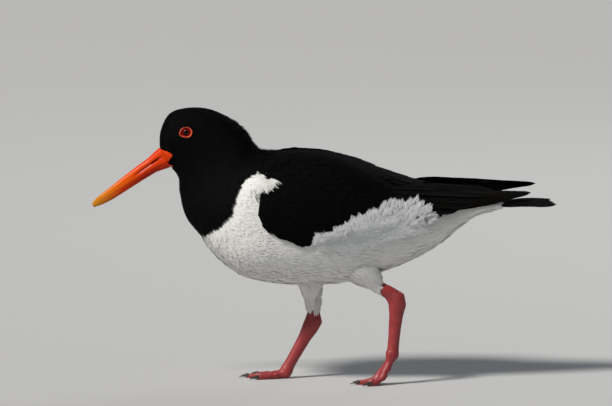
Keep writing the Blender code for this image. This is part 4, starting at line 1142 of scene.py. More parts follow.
def make_white_coat(settings):
    """White feathers of breast, belly, flanks and undertail."""
    rng = np.random.default_rng(23)
    s, turn = scatter(body, (6.5, 19.0), (-math.pi, math.pi),
                      lambda s, turn: thickness_of_cover(settings, feather_length(s)), rng)
    keep = (blackness(tip_place(s, turn, 0.92), rng, 0.8) <= 0) & (blackness(tip_place(s, turn, 0.12), rng, 0.5) < 0.5)
    front = WING_FRONT + 0.22 + 0.3 * ease((1.4 - np.abs(turn)) / 0.25) + rng.normal(0, 0.04, len(s))
    spur_top = (over_wing(s, turn) > 0.45) & (s < spur_end(turn) + rng.normal(0, 0.06, len(s)))
    keep &= ~((s > front) & (s < 9.4) & (np.abs(turn) < wing_edge(s) - 0.08) & (np.abs(turn) > 0.4)) | spur_top
    keep &= (blackness(tip_place(s, turn, 0.6)) <= 0) & (spur_top | ~under_wing(s, turn, 9))
    keep &= ((np.abs(turn) > 0.3) | (s > 13)) & (thigh_lift(s, turn) < DRAPED)
    behind = (s > np.where(turn < 0, 12.9, 11.7)) & (s < 14.6) & (np.abs(turn) > 1.9)
    keep &= ~(behind & (thigh_lift(s, turn) > 1.6 * MM))
    keep &= tip_place(s, turn, 1.0)[:, 0] < UNDERTAIL_END + rng.normal(0, 1.2 * MM, len(s))
    s, turn = s[keep], turn[keep]

    def add(parts, s, turn):
        length = feather_length(s)
        spur = ease((s - 7.6) / 0.5) * ease((10.4 - s) / 1.2) * ease((2.1 - np.abs(turn)) / 0.5)
        low = ease((np.abs(turn) - 2.0) / 0.8)
        stray = rng.random(len(s)) ** 6
        top = spur * ease((1.35 - np.abs(turn)) / 0.3)
        add_fans(parts, body, s, turn, rng, length * (1 + 0.1 * spur + 0.25 * stray),
                 (0.066 - 0.030 * spur) * length, 11, 0.42, coat_depth(s),
                 0.15 + 0.35 * spur + 0.5 * low * stray + 0.6 * stray, lean=0.5 * top,
                 lift=white_lift, ragged=0.2, wander=0.07, relief=0.25)

    build_in_pieces("white_feathers", "white_feather", white_material(settings), (s, turn), add, 11)
    add_wisps(settings)


def wisp_lift(s, turn):
    return (wing_lift(s, turn) + 1.0 * MM) * ease((s - 8.2) / 0.4)


def add_wisps(settings):
    """Long thin white filaments that lie from the breast over the wing's front edge."""
    rng = np.random.default_rng(29)
    parts = Parts()
    for side in SIDES.values():
        count = 36
        angle = rng.uniform(1.0, 1.36, count)
        s = np.maximum(spur_end(angle), 8.5) - rng.uniform(0, 0.22, count)
        turn = angle * side
        keep = blackness(body(s, turn)) < 1
        s, turn = s[keep], turn[keep]
        angle = np.abs(turn)
        long = rng.uniform(8, 13, len(s)) * np.interp(angle, (1.1, 1.35), (1.1, 0.75))
        add_fans(parts, body, s, turn, rng, long, 0.24, 5, 0.22, 0.8,
                 rng.uniform(1.2, 2.2, len(s)), lean=0.55, lift=wisp_lift, curl=0.3,
                 ragged=0.35, wander=0.2, relief=0.5)
    finish_piece(parts.build("breast_wisps", white_material(settings)), "white_feather")


FEATHERED_TO = {"left": (4.45, 0.55), "right": (5.5, 0.0)}
HIP_LIE = np.array((1.0, 0.0, -0.25))


def make_thigh_coats(settings):
    """White feathers of both thighs, clinging to the leg where they end raggedly over its red skin."""
    rng = np.random.default_rng(31)
    for side_name, side in SIDES.items():
        surface = thigh(THIGHS[side_name], side)
        s, turn = scatter(surface, (0.3, LAST_THIGH), (-math.pi, math.pi),
                          lambda s, turn: thickness_of_cover(settings, np.interp(s, (1, 6), (9, 6))), rng)
        point = surface(s, turn)
        keep = np.abs(point[:, 1]) > half_width_at(point[:, 0], point[:, 2]) - 1.5 * MM
        middle, slant = FEATHERED_TO[side_name]
        keep &= s < middle + slant * np.cos(turn) + rng.normal(0, 0.22, len(s))
        s, turn = s[keep], turn[keep]

        def add(parts, s, turn, surface=surface, middle=middle, slant=slant):
            length = np.interp(s, (1, 4, 6), (10.5, 8.6, 7.2))
            hind = ease((np.abs(turn) - 1.8) / 0.8) * ease((s - 2.5) / 1.5)
            stray = rng.random(len(s)) ** 5
            last = ease((s - middle - slant * np.cos(turn) + 0.8) / 0.8)
            _, _, along, around, _, _ = surface_frame(surface, s, turn)
            backwards = np.arctan2(around @ HIP_LIE, along @ HIP_LIE)
            near_s, near_turn = stations_of(surface(s, turn))
            shade = surface_frame(body, near_s, near_turn)[1] * (1.1 * ease((4.2 - s) / 2.8))[:, None]
            add_fans(parts, surface, s, turn, rng, length * (1 + 0.35 * stray), 0.055 * length, 11,
                     0.38 - 0.2 * last, 1.3, 0.15 + (0.8 + 1.8 * hind) * stray - 0.1 * last,
                     lean=0.85 * backwards * ease((4.4 - s) / 2.4), ragged=0.2 + 0.22 * last, wander=0.1,
                     relief=0.35, shade=shade)

        build_in_pieces("thigh_feathers_" + side_name, "white_feather", white_material(settings),
                        (s, turn), add, 11)


# Wings, back and tail.


def arm_front(row_share):
    return WING_FRONT + 0.9 * np.abs(2 * row_share - 1) ** 3


def make_arm(side_name, material):
    """The folded arm under the coverts: a closed shell that follows the solid's shield."""
    columns, rows = 70, 44
    column, row = np.meshgrid(np.linspace(0, 1, columns), np.linspace(0, 1, rows), indexing="ij")
    front = arm_front(row)
    s = front + (WING_REAR - front) * column
    low = wing_edge(s)
    angle = low + (WING_TOP - low) * row
    turn = angle * SIDES[side_name]
    point, normal, _, _, _, _ = surface_frame(body, s, turn)
    thick = shield_thickness(s, turn)
    layers = [point + normal * (WING_CLEARANCE + thick * share - 0.4 * MM)[..., None] for share in (0.1, 0.9)]
    points = np.concatenate([layer.reshape(-1, 3) for layer in layers])
    sheet = np.array(grid_triangles(columns, rows))
    border = ([k * rows for k in range(columns)] + [(columns - 1) * rows + k for k in range(1, rows)]
              + [k * rows + rows - 1 for k in range(columns - 2, -1, -1)] + list(range(rows - 2, 0, -1)))
    rim = []
    for here, there in zip(border, border[1:] + border[:1]):
        rim += [(here, there, there + columns * rows), (here, there + columns * rows, here + columns * rows)]
    triangles = np.concatenate((sheet, sheet[:, ::-1] + columns * rows, rim))
    dark = 1 - ease(bar_depth(points) / 2)
    made = array_mesh("wing_arm_" + side_name, points, triangles, material, values={"dark": dark})
    pick(made)
    bpy.ops.object.mode_set(mode="EDIT")
    bpy.ops.mesh.select_all(action="SELECT")
    bpy.ops.mesh.normals_make_consistent(inside=False)
    bpy.ops.object.mode_set(mode="OBJECT")
    return finish_piece(made, "flight_feather", "wing_" + side_name)


def make_coverts(side_name, material, rng):
    """Black coverts in rows from the wing's bend back, each row lying over the next."""
    side = SIDES[side_name]
    s_all, turn_all = [], []
    place = WING_FRONT + 0.12
    while place < WING_REAR - 0.1:
        low = float(wing_edge(np.array(place)))
        wide = np.interp(place, (8.7, 10, 12, 15.6), (5.0, 5.6, 6.6, 8.0)) / 48
        count = max(3, int((low - WING_TOP) / wide))
        share = (np.arange(count) + rng.uniform(0.2, 0.8)) / count
        s = np.maximum(place, arm_front(share) + 0.06) + rng.normal(0, 0.045, count)
        s_all.append(s)
        turn_all.append(low + (WING_TOP - low) * share)
        place += np.interp(place, (8.7, 12, 15.6), (0.19, 0.26, 0.32))
    s, turn = np.concatenate(s_all), np.concatenate(turn_all) * side
    length = np.interp(s, (8.7, 10, 12, 14, 15.6), (8.5, 11.5, 17, 23, 27)) * rng.uniform(0.9, 1.1, len(s))
    point = body(s, turn)
    tip = point + np.stack((length * MM, 0 * length, 0 * length), -1)
    keep = (bar_depth(point) < 0) & (bar_depth(tip) < 4)
    s, turn, length = s[keep], turn[keep], length[keep]
    width = np.interp(s, (8.7, 10, 12, 14, 15.6), (3.7, 4.4, 5.4, 6.2, 6.6))
    parts = Parts()
    add_vanes(parts, body, s, turn, rng, length, width, 0.10, -0.9, 0.45, lift=wing_lift, cup=0.1,
              frayed=0.07, wander=0.1)
    finish_piece(parts.build("wing_coverts_" + side_name, material), "flight_feather")


def make_covert_plumes(side_name, material, rng):
    """Soft black tufts over the coverts, dense at the wing's bend and thinning towards its rear."""
    side = SIDES[side_name]
    s, turn = scatter(body, (WING_FRONT - 0.05, 15.4), tuple(sorted((0.2 * side, 2.4 * side))),
                      lambda s, turn: np.interp(s, (8.4, 8.9, 11.5, 15.4), (0.42, 0.25, 0.10, 0.03)), rng)
    angle = np.abs(turn)
    row = (wing_edge(s) - angle) / (wing_edge(s) - WING_TOP)
    length = np.interp(s, (8.4, 8.9, 11, 15.4), (5.5, 7.0, 10.0, 16.0))
    point = body(s, turn)
    tip = point + np.stack((length * MM, 0 * length, 0 * length), -1)
    keep = (row > -0.01) & (s > arm_front(row) - 0.05) & (bar_depth(point) < -1) & (bar_depth(tip) < 3)
    keep &= (over_wing(s, turn) < 0.5) | (s > spur_end(turn))
    s, turn, length = s[keep], turn[keep], length[keep]

    def add(parts, s, turn, length):
        add_fans(parts, body, s, turn, rng, length, 0.042 * length, 9, 0.40, 0.6, 0.75, lean=0.08,
                 lift=wing_lift, ragged=0.25, wander=0.1, relief=0.7)

    build_in_pieces("covert_plumes_" + side_name, "black_feather", material, (s, turn, length), add, 9)


BAR_ROWS = ((7.4, 2.3, 0.7), (10.2, 1.7, 0.9), (13.2, 1.1, 1.2), (16.4, 0.6, 1.8), (5.0, 2.0, 1.2))


def bar_lift(s, turn):
    """The bar's feathers lie on the folded arm and, behind it, over the roots of the flight feathers."""
    return wing_lift(s, turn) + 3.0 * MM * ease((s - 14.2) / 0.8)


def make_bar(side_name, material, rng):
    """The white bar low on the folded wing, its feathers blown up into rounded plumes with their tips forwards."""
    side = SIDES[side_name]
    s, turn = scatter(body, (11.2, 16.2), tuple(sorted((0.6 * side, 2.4 * side))),
                      lambda s, turn: np.full_like(s, 0.34), rng)
    place = body(s, turn)
    keep = (bar_depth(place) > rng.normal(2.5, 0.8, len(s))) & (np.abs(turn) < wing_edge(s) + 0.03)
    keep &= place[:, 0] < 84 * MM
    s, turn = s[keep], turn[keep]

    def add(parts, s, turn):
        lean = 0.25 + 0.3 * ease((s - 13.9) / 1.2) - 0.5 * ease((12.6 - s) / 0.8) + rng.normal(0, 0.14, len(s))
        add_fans(parts, body, s, turn, rng, rng.uniform(9, 13, len(s)), 0.42, 9, 0.32, 0.8, 0.4, lean=lean,
                 lift=bar_lift, curl=0.1, ragged=0.3, wander=0.1, relief=0.4)
        for row, (depth, rise, scattered) in enumerate(BAR_ROWS):
            first = -11.0 + 2.0 * row if row < 4 else 52.0
            x = np.arange(first, 94.0, 4.6) + rng.uniform(-1.2, 1.2)
            x = x + rng.normal(0, 0.8, len(x))
            z = np.interp(x * MM, BAR_BORDER[:, 0], BAR_BORDER[:, 1]) / MM
            z = z - depth + rng.normal(0, scattered, len(x))
            s, turn, gap = places_on_body(x, z, side)
            keep = (gap < 1.5) & (s < 15.5) & (np.abs(turn) < wing_edge(s) - 0.02)
            s, turn, x = s[keep], turn[keep], x[keep]
            lean = np.interp(x, (-12, 10, 35, 60, 78, 92), (-2.7, -2.3, -2.15, -1.9, -1.3, 0.1))
            lean = lean + rng.normal(0, 0.14, len(s))
            long = 9.6 * rng.uniform(0.82, 1.12, len(s))
            over = rise + 3.6 * ease((x - 58) / 22)
            for share, blades, spread, comb in ((1.0, 31, -0.15, 2.7), (0.84, 31, 0.22, 3.0)):
                add_fans(parts, body, s, turn, rng, share * long, 0.19, blades, spread, 0.9, over * share, lean=lean,
                         lift=bar_lift, curl=0.35, ragged=0.26, wander=0.05, relief=0.5, comb=comb)

    build_in_pieces("wing_bar_" + side_name, "white_feather", material, (s, turn), add, 9)


def places_on_body(x, z, side):
    """Stations and turns of the outline's points nearest to side-view ones, and the gaps, in millimetres."""
    s, turn = np.meshgrid(np.linspace(8, 17, 181), np.linspace(0.3, 2.5, 221) * side, indexing="ij")
    spots = body(s.ravel(), turn.ravel()) / MM
    gaps = np.hypot(spots[:, 0] - x[:, None], spots[:, 2] - z[:, None])
    nearest = gaps.argmin(1)
    return s.ravel()[nearest], turn.ravel()[nearest], gaps.min(1)


PRIMARIES = 9
TERTIALS = (((40, 174), (150.4, 170.6, 12), 9.4, 60), ((38, 173), (140.0, 166.0, 16.5), 9.8, 49),
            ((36, 171), (131.8, 161.4, 21), 9.6, 41), ((34, 168), (119.0, 156.6, 24), 9.2, 36),
            ((32, 163), (106.0, 152.8, 26.5), 8.6, 32), ((34, 176), (146.0, 172.0, 6.2), 6.4, 72),
            ((36, 175), (130.0, 170.8, 12), 8.0, 64))


def raised_tip(point, side):
    """The right wing's tip lies a little higher and farther back than the left one's."""
    x, z, out = point
    share = float(ease((x - 60) / 120)) if side > 0 else 0.0
    return (x + 5.0 * share, z + 6.0 * share, out)


def make_quills(side_name, material, rng):
    side = SIDES[side_name]
    parts = Parts()
    total = PRIMARIES + len(TERTIALS)

    def tucked(x, z):
        out = float(half_width_at(np.array([x]) * MM, np.array([z]) * MM)[0]) / MM
        return (x, z, out - 2.0)

    for number in range(PRIMARIES):
        step = number * 5 / (PRIMARIES - 1)
        tip = (182.4 - 10.5 * step, 168.8 + 0.35 * step, 11 + 1.35 * step)
        root = tucked(52 - 3 * step, 147 + 2.6 * step)
        add_quill(parts, number, total, side, root, raised_tip(tip, side), 7.2, math.radians(28 + 3 * step),
                  3.0 if side < 0 else 7.0, rng, shaft=0.3, frayed=0.02, pointed=0.42)
    for number, (root, tip, half_width, rise) in enumerate(TERTIALS):
        add_quill(parts, PRIMARIES + number, total, side, tucked(*root), raised_tip(tip, side), half_width,
                  math.radians(rise), 1.0, rng, frayed=0.03)
    finish_piece(parts.build("wing_quills_" + side_name, material), "flight_feather")


MANTLE_RISE = np.array(((8.5, 0.1), (10.5, 0.2), (11, 0.6), (11.5, 2.2), (12, 3.7), (12.5, 4.9), (13, 6.4),
                        (13.5, 7.6), (14, 8.4), (15.5, 9.4)))


def mantle_lift(s, turn):
    """The back feathers lie on the back, over the tops of the folded wings, and ridge-like over the tertials."""
    angle = np.abs(turn)
    over = (wing_lift(s, turn) + 0.4 * MM) * ease((angle - 0.08) / 0.16)
    ridge = np.interp(s, MANTLE_RISE[:, 0], MANTLE_RISE[:, 1]) * MM * (1 - ease((angle - 0.1) / 0.9))
    return np.maximum(over, ridge) * ease((s - 7.9) / 0.9)


def make_mantle(material):
    """Long back feathers from the nape between the wings, over the rump."""
    rng = np.random.default_rng(47)
    s_all, turn_all = [], []
    place = 8.15
    while place < 13.6:
        half = np.interp(place, (8.0, 8.6, 9.2, 11.0, 12.0, 13.6), (0.85, 0.62, 0.44, 0.46, 0.60, 0.62))
        count = max(4, int(2 * half * 46 / np.interp(place, (8, 13), (5.5, 7.5))))
        turn_all.append(half * (2 * (np.arange(count) + rng.uniform(0.3, 0.7)) / count - 1))
        s_all.append(place + rng.normal(0, 0.05, count))
        place += np.interp(place, (8, 13), (0.22, 0.34))
    s, turn = np.concatenate(s_all), np.concatenate(turn_all)
    length = np.interp(s, (8, 10, 12, 13.6), (11, 17, 27, 40)) * rng.uniform(0.92, 1.08, len(s))
    width = np.interp(s, (8, 10, 12, 13.6), (4.6, 5.6, 6.4, 6.8))
    parts = Parts()
    add_vanes(parts, body, s, turn, rng, length, width, 0.04, -0.8, 0.35, lift=mantle_lift, cup=0.16,
              frayed=0.07, wander=0.08)
    finish_piece(parts.build("mantle_feathers", material), "black_feather", "mantle")


def make_wings(settings):
    # The arm's white part takes the wing bar's colour, which is painted greyer and bluer than the body's white as
    # shade.
    arm = two_tone_material("wing_arm", settings.black, settings.bar_white_shaded, 0.7)
    covert, _, _, _ = vane_material("covert_feathers", settings.black, settings.black_light,
                                    settings.fringe, 0.6, 0.0, 60.0)
    quill, _, _, _ = vane_material("flight_feathers", settings.quill, settings.quill_light,
                                   settings.quill_fringe, 0.5, 0.0, 170.0)
    # Painted shade: the wing bar's white is greyer and bluer than the body's white.
    white = plumage_material("wing_bar_shaded_feathers", settings.bar_white_shaded, settings.bar_light_shaded,
                             settings.bar_light_shaded, 0.8, 0.1, 0.2)
    for number, side_name in enumerate(SIDES):
        rng = np.random.default_rng(61 + number)
        make_arm(side_name, arm)
        make_coverts(side_name, covert, rng)
        make_covert_plumes(side_name, bpy.data.materials["black_plumage"], rng)
        make_bar(side_name, white, rng)
        make_quills(side_name, quill, rng)
    make_mantle(covert)


TAIL_PAIRS = 6


def make_tail(settings):
    """Twelve tail feathers, white at the root and black at the end, fanned with the middle pair on top."""
    rng = np.random.default_rng(83)
    material = tail_material("tail_feathers", settings.quill, settings.quill_light, settings.white)
    parts = Parts()
    for pair in range(TAIL_PAIRS):
        share = pair / (TAIL_PAIRS - 1)
        for side in SIDES.values():
            layer = 2 * pair + (1 if side > 0 else 0)
            end = 198.6 + (6.2 if side < 0 else 3.0) * share**0.8 + rng.uniform(-0.4, 0.1)
            tip = (end, 162.3 - 0.26 * layer, 3.0 + 21.0 * share)
            root = (150.0, 158.2 - 0.125 * layer, 1.5 + 8.5 * share)
            add_quill(parts, layer, 2 * TAIL_PAIRS, side, root, tip, 6.2, math.radians(90 - 8 * share),
                      2.2 - 1.6 * share, rng, frayed=0.07)
    finish_piece(parts.build("tail_quills", material), "flight_feather", "tail")
    covers = Parts()
    for centre, half, count, longest in ((0.0, 0.9, 90, 14.0), (math.pi, 1.25, 120, 11.0)):
        turn = centre + rng.uniform(-half, half, count)
        s = rng.uniform(16.6, 18.3, count)
        low = hollow(s, turn)
        add_vanes(covers, body, s, turn, rng, rng.uniform(0.8, 1.0, count) * longest, 2.4, 0.0, -1.4 - low, 0.2 - 0.5 * low,
                  cup=0.05, frayed=0.08, wander=0.07)
    finish_piece(covers.build("tail_coverts", white_material(settings)), "white_feather")


# Bill.

def bill_half(name, rise, profile, margin, material, node):
    """One mandible: rings from the feathered margin on the face to the tip, with grooves on its sides."""
    around, behind = 61, 9
    theta = np.linspace(0, math.pi, around)
    rings = np.concatenate((np.linspace(1, 0, behind, endpoint=False) * -1,
                            np.linspace(0, 1, 92) ** 0.92 * BILL_LENGTH))
    rows, groove_shades, alongs = [], [], []
    for place in rings:
        distance = max(place, 0.0)
        mouth = table(MOUTH_LINE, distance)
        full = profile_height(profile, distance, rise, mouth)
        lift = mouth + rise * (0.12 + full * np.sin(theta) ** 0.9)
        out = signed_power(np.cos(theta), 0.85) * table(BILL_WIDTH, distance)
        groove = np.zeros(around)
        if rise > 0:
            line = np.interp(distance, (0, 12, 34), (2.2, 2.0, 1.2))
            window = ease(distance / 1.5) * ease((36 - distance) / 14)
            groove = 0.85 * np.exp(-((lift - line) / 1.0) ** 2) * window
            slit = ease((distance - 4.2) / 1.5) * ease((13.0 - distance) / 2.0)
            groove = groove + 1.5 * np.exp(-((lift - line) / 0.5) ** 2) * slit
        else:
            line = np.interp(distance, (0, 40, 60), (-5.0, -3.6, -2.6))
            window = ease((distance - 2) / 6) * ease((52 - distance) / 12)
            groove = 0.32 * np.exp(-((lift - line) / 0.7) ** 2) * window
        out = out - np.sign(np.cos(theta)) * np.minimum(groove, np.abs(out) * 0.6)
        base = BILL_BASE[None] + BILL_UP[None] * lift[:, None]
        to_face = ((FACE_LOW - base) @ FACE_NORMAL) / (BILL_ALONG @ FACE_NORMAL)
        fade = ease(1 - distance / 12)
        side_view = base + BILL_ALONG[None] * (distance + to_face * fade * (1 - distance / 40))[:, None]
        if place < 0:
            back = table(margin, lift) * -place
            side_view = side_view - BILL_ALONG[None] * back[:, None]
            surface = half_width_at(side_view[:, 0] * MM, side_view[:, 1] * MM) / MM
            cover = 0.35 - 0.7 * ease((-place - 0.7) / 0.3)
            share = ease(back / 2.2)
            out = np.sign(np.cos(theta)) * (np.abs(out) * (1 - share) + (surface + cover) * share)
        rows.append(np.stack((side_view[:, 0], out, side_view[:, 1]), -1))
        # The groove value also paints shade: dark red in the grooves, the nostril slit and along the mouth line.
        mouth_shade = 0.9 * np.exp(-((lift - mouth) / 0.45) ** 2) * ease((72 - distance) / 40)
        groove_shades.append(np.clip(1.5 * groove + mouth_shade, 0, 1))
        alongs.append(np.full(around, distance / BILL_LENGTH))
    points = np.array(rows).reshape(-1, 3) * MM
    count = len(rings)
    sheet = np.array(grid_triangles(count, around))
    closing = []
    for row in range(behind, count - 1):
        a, b = row * around, row * around + around - 1
        c, d = a + around, b + around
        closing += [(a, b, d), (a, d, c)]
    last = (count - 1) * around
    cap = [(last, last + k, last + k + 1) for k in range(1, around - 1)]
    triangles = np.concatenate((sheet, np.array(closing)[:, ::-1], cap))
    if rise < 0:
        triangles = triangles[:, ::-1]
    made = array_mesh(name, points, triangles, material,
                      values={"groove": np.array(groove_shades).ravel(), "along": np.array(alongs).ravel()})
    pick(made)
    made.data.set_sharp_from_angle(angle=math.radians(48))
    return finish_piece(made, "bill_horn", node)


def profile_height(profile, distance, rise, mouth):
    """Height of a mandible above or below the mouth line; the profile is taken from a line at -0.9."""
    return table(profile, distance) + rise * (-0.9 - mouth)


def make_bill(settings):
    upper = bill_material("upper_horn", (settings.bill_root, settings.bill_base, settings.bill_middle,
                                         settings.bill_tip))
    lower = bill_material("lower_horn", (settings.bill_lower, settings.bill_lower, settings.bill_base,
                                         settings.bill_tip))
    bill_half("upper_mandible", 1, BILL_CULMEN, UPPER_MARGIN, upper, "bill_upper")
    bill_half("lower_mandible", -1, BILL_GONYS, LOWER_MARGIN, lower, "bill_lower")


# Eyes.


def make_eyeball(side_name, side, settings, material):
    deselect_all()
    bpy.ops.mesh.primitive_uv_sphere_add(segments=64, ring_count=40, radius=EYE_RADIUS * MM)
    ball = bpy.context.active_object
    ball.name = ball.data.name = "eyeball_" + side_name
    points = coordinates(ball)
    reach = np.hypot(points[:, 0], points[:, 1]) / MM
    front = points[:, 2] > 0
    points[:, 2] += np.where(front, 0.35 * ease(1 - reach / 3.8), 0) * MM
    add_value(ball.data, "from_axis", np.where(front, reach, 6.0))
    place = np.array(eye_place(side))
    points[:, 2] += 0.6 * MM
    move_to(ball, points @ place[:3, :3].T + place[:3, 3])
    bpy.ops.object.shade_smooth()
    ball.data.materials.append(material)
    finish_piece(ball, "eye", "eye_" + side_name)


def make_lids(side_name, side, settings, material):
    """The ring of bare skin round the eye: oval, drawn out to a corner in front, with granular edges."""
    rng = np.random.default_rng(5)
    deselect_all()
    middle = 4.95 * MM
    bpy.ops.mesh.primitive_torus_add(major_segments=96, minor_segments=18, major_radius=middle,
                                     minor_radius=0.54 * MM)
    lids = bpy.context.active_object
    lids.name = lids.data.name = "lids_" + side_name
    points = coordinates(lids)
    turn = np.arctan2(points[:, 1], points[:, 0])
    place = np.array(eye_place(side))
    corner = place[:3, :3].T @ np.array((-0.9, 0.0, -0.43))
    corner_turn = math.atan2(corner[1], corner[0])
    off = np.arctan2(np.sin(turn - corner_turn), np.cos(turn - corner_turn))
    stretch = 1 + 0.13 * np.exp(-(off / 0.40) ** 2)
    grain = 0.10 * np.sin(turn * 34 + rng.uniform(0, 6)) * np.sin(turn * 21) + rng.normal(0, 0.03, len(turn))
    ring = np.hypot(points[:, 0], points[:, 1])
    thick = 1 + grain
    ring = middle + (ring - middle) * thick
    inward = (ring < middle) & (points[:, 2] < 0)
    ring = np.where(inward, middle + (ring - middle) * 2.2, ring)
    world = np.stack((np.cos(turn), np.sin(turn), 0 * turn), -1) @ place[:3, :3].T
    level = (points[:, 2] * 1.9 * thick
             + (4.75 - 0.2 * world[:, 0] - 0.45 * world[:, 2] + 0.25 * np.cos(2 * turn)) * MM)
    wide, tall = 1.05, 0.89
    world_x = place[:3, :3].T @ np.array((1.0, 0.0, 0.0))
    flat_turn = math.atan2(world_x[1], world_x[0])
    a = np.cos(turn - flat_turn) * ring * wide * stretch
    b = np.sin(turn - flat_turn) * ring * tall * stretch
    local = np.stack((a * math.cos(flat_turn) - b * math.sin(flat_turn),
                      a * math.sin(flat_turn) + b * math.cos(flat_turn), level), -1)
    move_to(lids, local @ place[:3, :3].T + place[:3, 3])
    # Painted shade: darker at the ring's inner edge and in the dips of its grain.
    inner_edge_shade = ease(((middle - ring) / MM - 0.35) / 0.25)
    add_value(lids.data, "crease_shade", np.maximum(np.clip(0.5 - grain * 6, 0, 1) * 0.6, inner_edge_shade))
    bpy.ops.object.shade_smooth()
    lids.data.materials.append(material)
    finish_piece(lids, "eyelid", "eyelids_" + side_name)


def make_eyes(settings):
    iris = eye_material("iris_and_pupil", settings.iris, settings.pupil)
    # The eye ring's dark colour colours its seams, and paints shade at its inner edge and in its dips.
    ring = bare_skin_material("eye_ring", settings.eye_ring, (0.45, 0.03, 0.01), settings.eye_ring_light,
                              0.36, 1500.0, 0.0002)
    for side_name, side in SIDES.items():
        make_eyeball(side_name, side, settings, iris)
        make_lids(side_name, side, settings, ring)


# Legs.

SHANK_LINES = {
    "left": ((54.2, 84.4), (58.6, 81), (64.2, 76.2), (65.2, 70.5), (64.2, 62), (63.0, 50), (62.0, 38),
             (61.4, 30.5), (60.6, 26.0)),
    "right": ((-9.0, 63.5), (-8.4, 58), (-8.2, 51.5), (-11.2, 45.6), (-16.2, 36.5), (-22.6, 25),
              (-28.0, 15.4), (-30.6, 10.6), (-33.4, 5.0)),
}
LEG_OUT = {"left": 21.0, "right": 20.0}

# Bare skin above the ankle, mostly under the feathers: side-view point and radius of each section.
BARE_THIGH = {
    "left": ((45.5, 90.8, 4.4), (48.8, 87.6, 5.1), (53.2, 84.0, 5.6), (58.6, 81.0, 6.0)),
    "right": ((-9.7, 71, 4.2), (-9.3, 67, 4.9), (-9.0, 62.5, 5.2), (-8.5, 58, 5.1)),
}


def shaped_toes(points, knuckle, side_name, on_toe):
    """Toes with pads at their joints, narrowing to the claws."""
    points = points.copy()
    ends = []
    for toe in ("inner", "middle", "outer"):
        claw = np.array([tuple(vertex.co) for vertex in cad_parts["claw_%s_%s" % (side_name, toe)].data.vertices])
        reach = np.linalg.norm(claw - knuckle, axis=1)
        ends.append(claw[reach < reach.min() + 1.5 * MM].mean(0))
    ends = np.array(ends)
    ways = unit(ends - knuckle)
    along = (points - knuckle) @ ways.T
    feet = knuckle + along[:, :, None] * ways[None]
    off = np.linalg.norm(points[:, None] - feet, axis=2)
    nearest = off.argmin(1)
    rows = np.arange(len(points))
    length = np.linalg.norm(ends - knuckle, axis=1)[nearest]
    place = along[rows, nearest] / length
    narrow = 0.30 * ease((place - 0.70) / 0.25) + 0.45 * ease((place - 0.88) / 0.12)
    pads = 0.07 * np.cos(2 * math.pi * place * 3.4) * ease((place - 0.25) / 0.1)
    factor = np.where(on_toe, 1 - narrow + pads, 1)
    centre = feet[rows, nearest]
    centre[:, 2] = np.maximum(centre[:, 2], 2.2 * MM)
    moved = centre + (points - centre) * factor[:, None]
    lowest = points[:, 2] < 0.9 * MM
    moved[lowest, 2] = points[lowest, 2]
    return moved


def plates(run, pitch):
    """1 on the scutes across a leg or toe and 0 in the grooves between them, from the run along it."""
    share = run / pitch % 1
    return ease(np.minimum(share, 1 - share) / 0.24)


def make_leg(side_name, side, material):
    """Shank and foot as one skin, with scutes down the front of the shank and along the toes."""
    nodes = ["shank_" + side_name, "foot_" + side_name]
    leg = copy_of_solids("leg_skin_" + side_name, nodes, grow=0.5 * MM)
    sections = [(x, z, LEG_OUT[side_name], radius, radius) for x, z, radius in BARE_THIGH[side_name]]
    upper = tube_form("bare_thigh_" + side_name, thigh(sections, side), len(sections) - 1)
    pick(leg)
    upper.select_set(True)
    bpy.ops.object.join()
    remeshed(leg, 0.8 * MM, 14, 0.6)
    modifier = leg.modifiers.new("finer", "SUBSURF")
    modifier.levels = modifier.render_levels = 1
    bpy.ops.object.modifier_apply(modifier=modifier.name)
    points, normals = coordinates(leg), normals_of(leg)
    line = np.array(SHANK_LINES[side_name]) * MM
    lengths = np.concatenate(([0], np.cumsum(np.linalg.norm(np.diff(line, axis=0), axis=1))))
    spots = np.linspace(0, lengths[-1], 160)
    dense = np.stack([np.interp(spots, lengths, line[:, k]) for k in (0, 1)], -1)
    gaps = np.linalg.norm(points[:, None, (0, 2)] - dense[None], axis=2)
    nearest = gaps.argmin(1)
    down = spots[nearest] / MM
    knuckle = np.array((line[-1][0], side * LEG_OUT[side_name] * MM, line[-1][1]))
    from_knuckle = np.linalg.norm(points - knuckle, axis=1) / MM
    on_toe = (from_knuckle > 7.5) & (points[:, 2] < knuckle[2] + 2 * MM) & (down > lengths[-1] / MM - 4)
    points = shaped_toes(points, knuckle, side_name, on_toe)
    front = ease((-normals[:, 0] - 0.1) / 0.6)
    top = ease((normals[:, 2] - 0.1) / 0.5)
    slanted = down + 0.5 * normals[:, 1] + 0.25 * np.sin(points[:, 1] / MM * 1.7)
    scutes = np.where(on_toe, plates(from_knuckle, 2.0), plates(slanted, 2.2))
    strength = np.where(on_toe, top, front)
    folds = np.exp(-((down - 9.0) / 6.0) ** 2) * np.where(on_toe, 0, 1)
    wrinkle = plates(down + 0.6 * np.sin(points[:, 1] / MM * 0.9) + 0.8 * normals[:, 0], 1.9)
    height = -0.20 * (1 - scutes) * strength - 0.30 * (1 - wrinkle) * folds * (1 - strength)
    height = np.where(points[:, 2] < 0.5 * MM, 0, height)
    moved = points + normals * (height * MM)[:, None]
    moved[:, 2] = np.maximum(moved[:, 2], 0.02 * MM)
    move_to(leg, moved)
    # Painted shade: darker in the grooves between the scutes and in the ankle's wrinkles.
    crease_shade = np.maximum((1 - scutes) * strength, (1 - wrinkle) * folds * (1 - strength))
    add_value(leg.data, "crease_shade", np.clip(crease_shade * 1.2, 0, 1))
    leg.data.materials.append(material)
    finish_piece(leg, "leg_skin", *nodes)


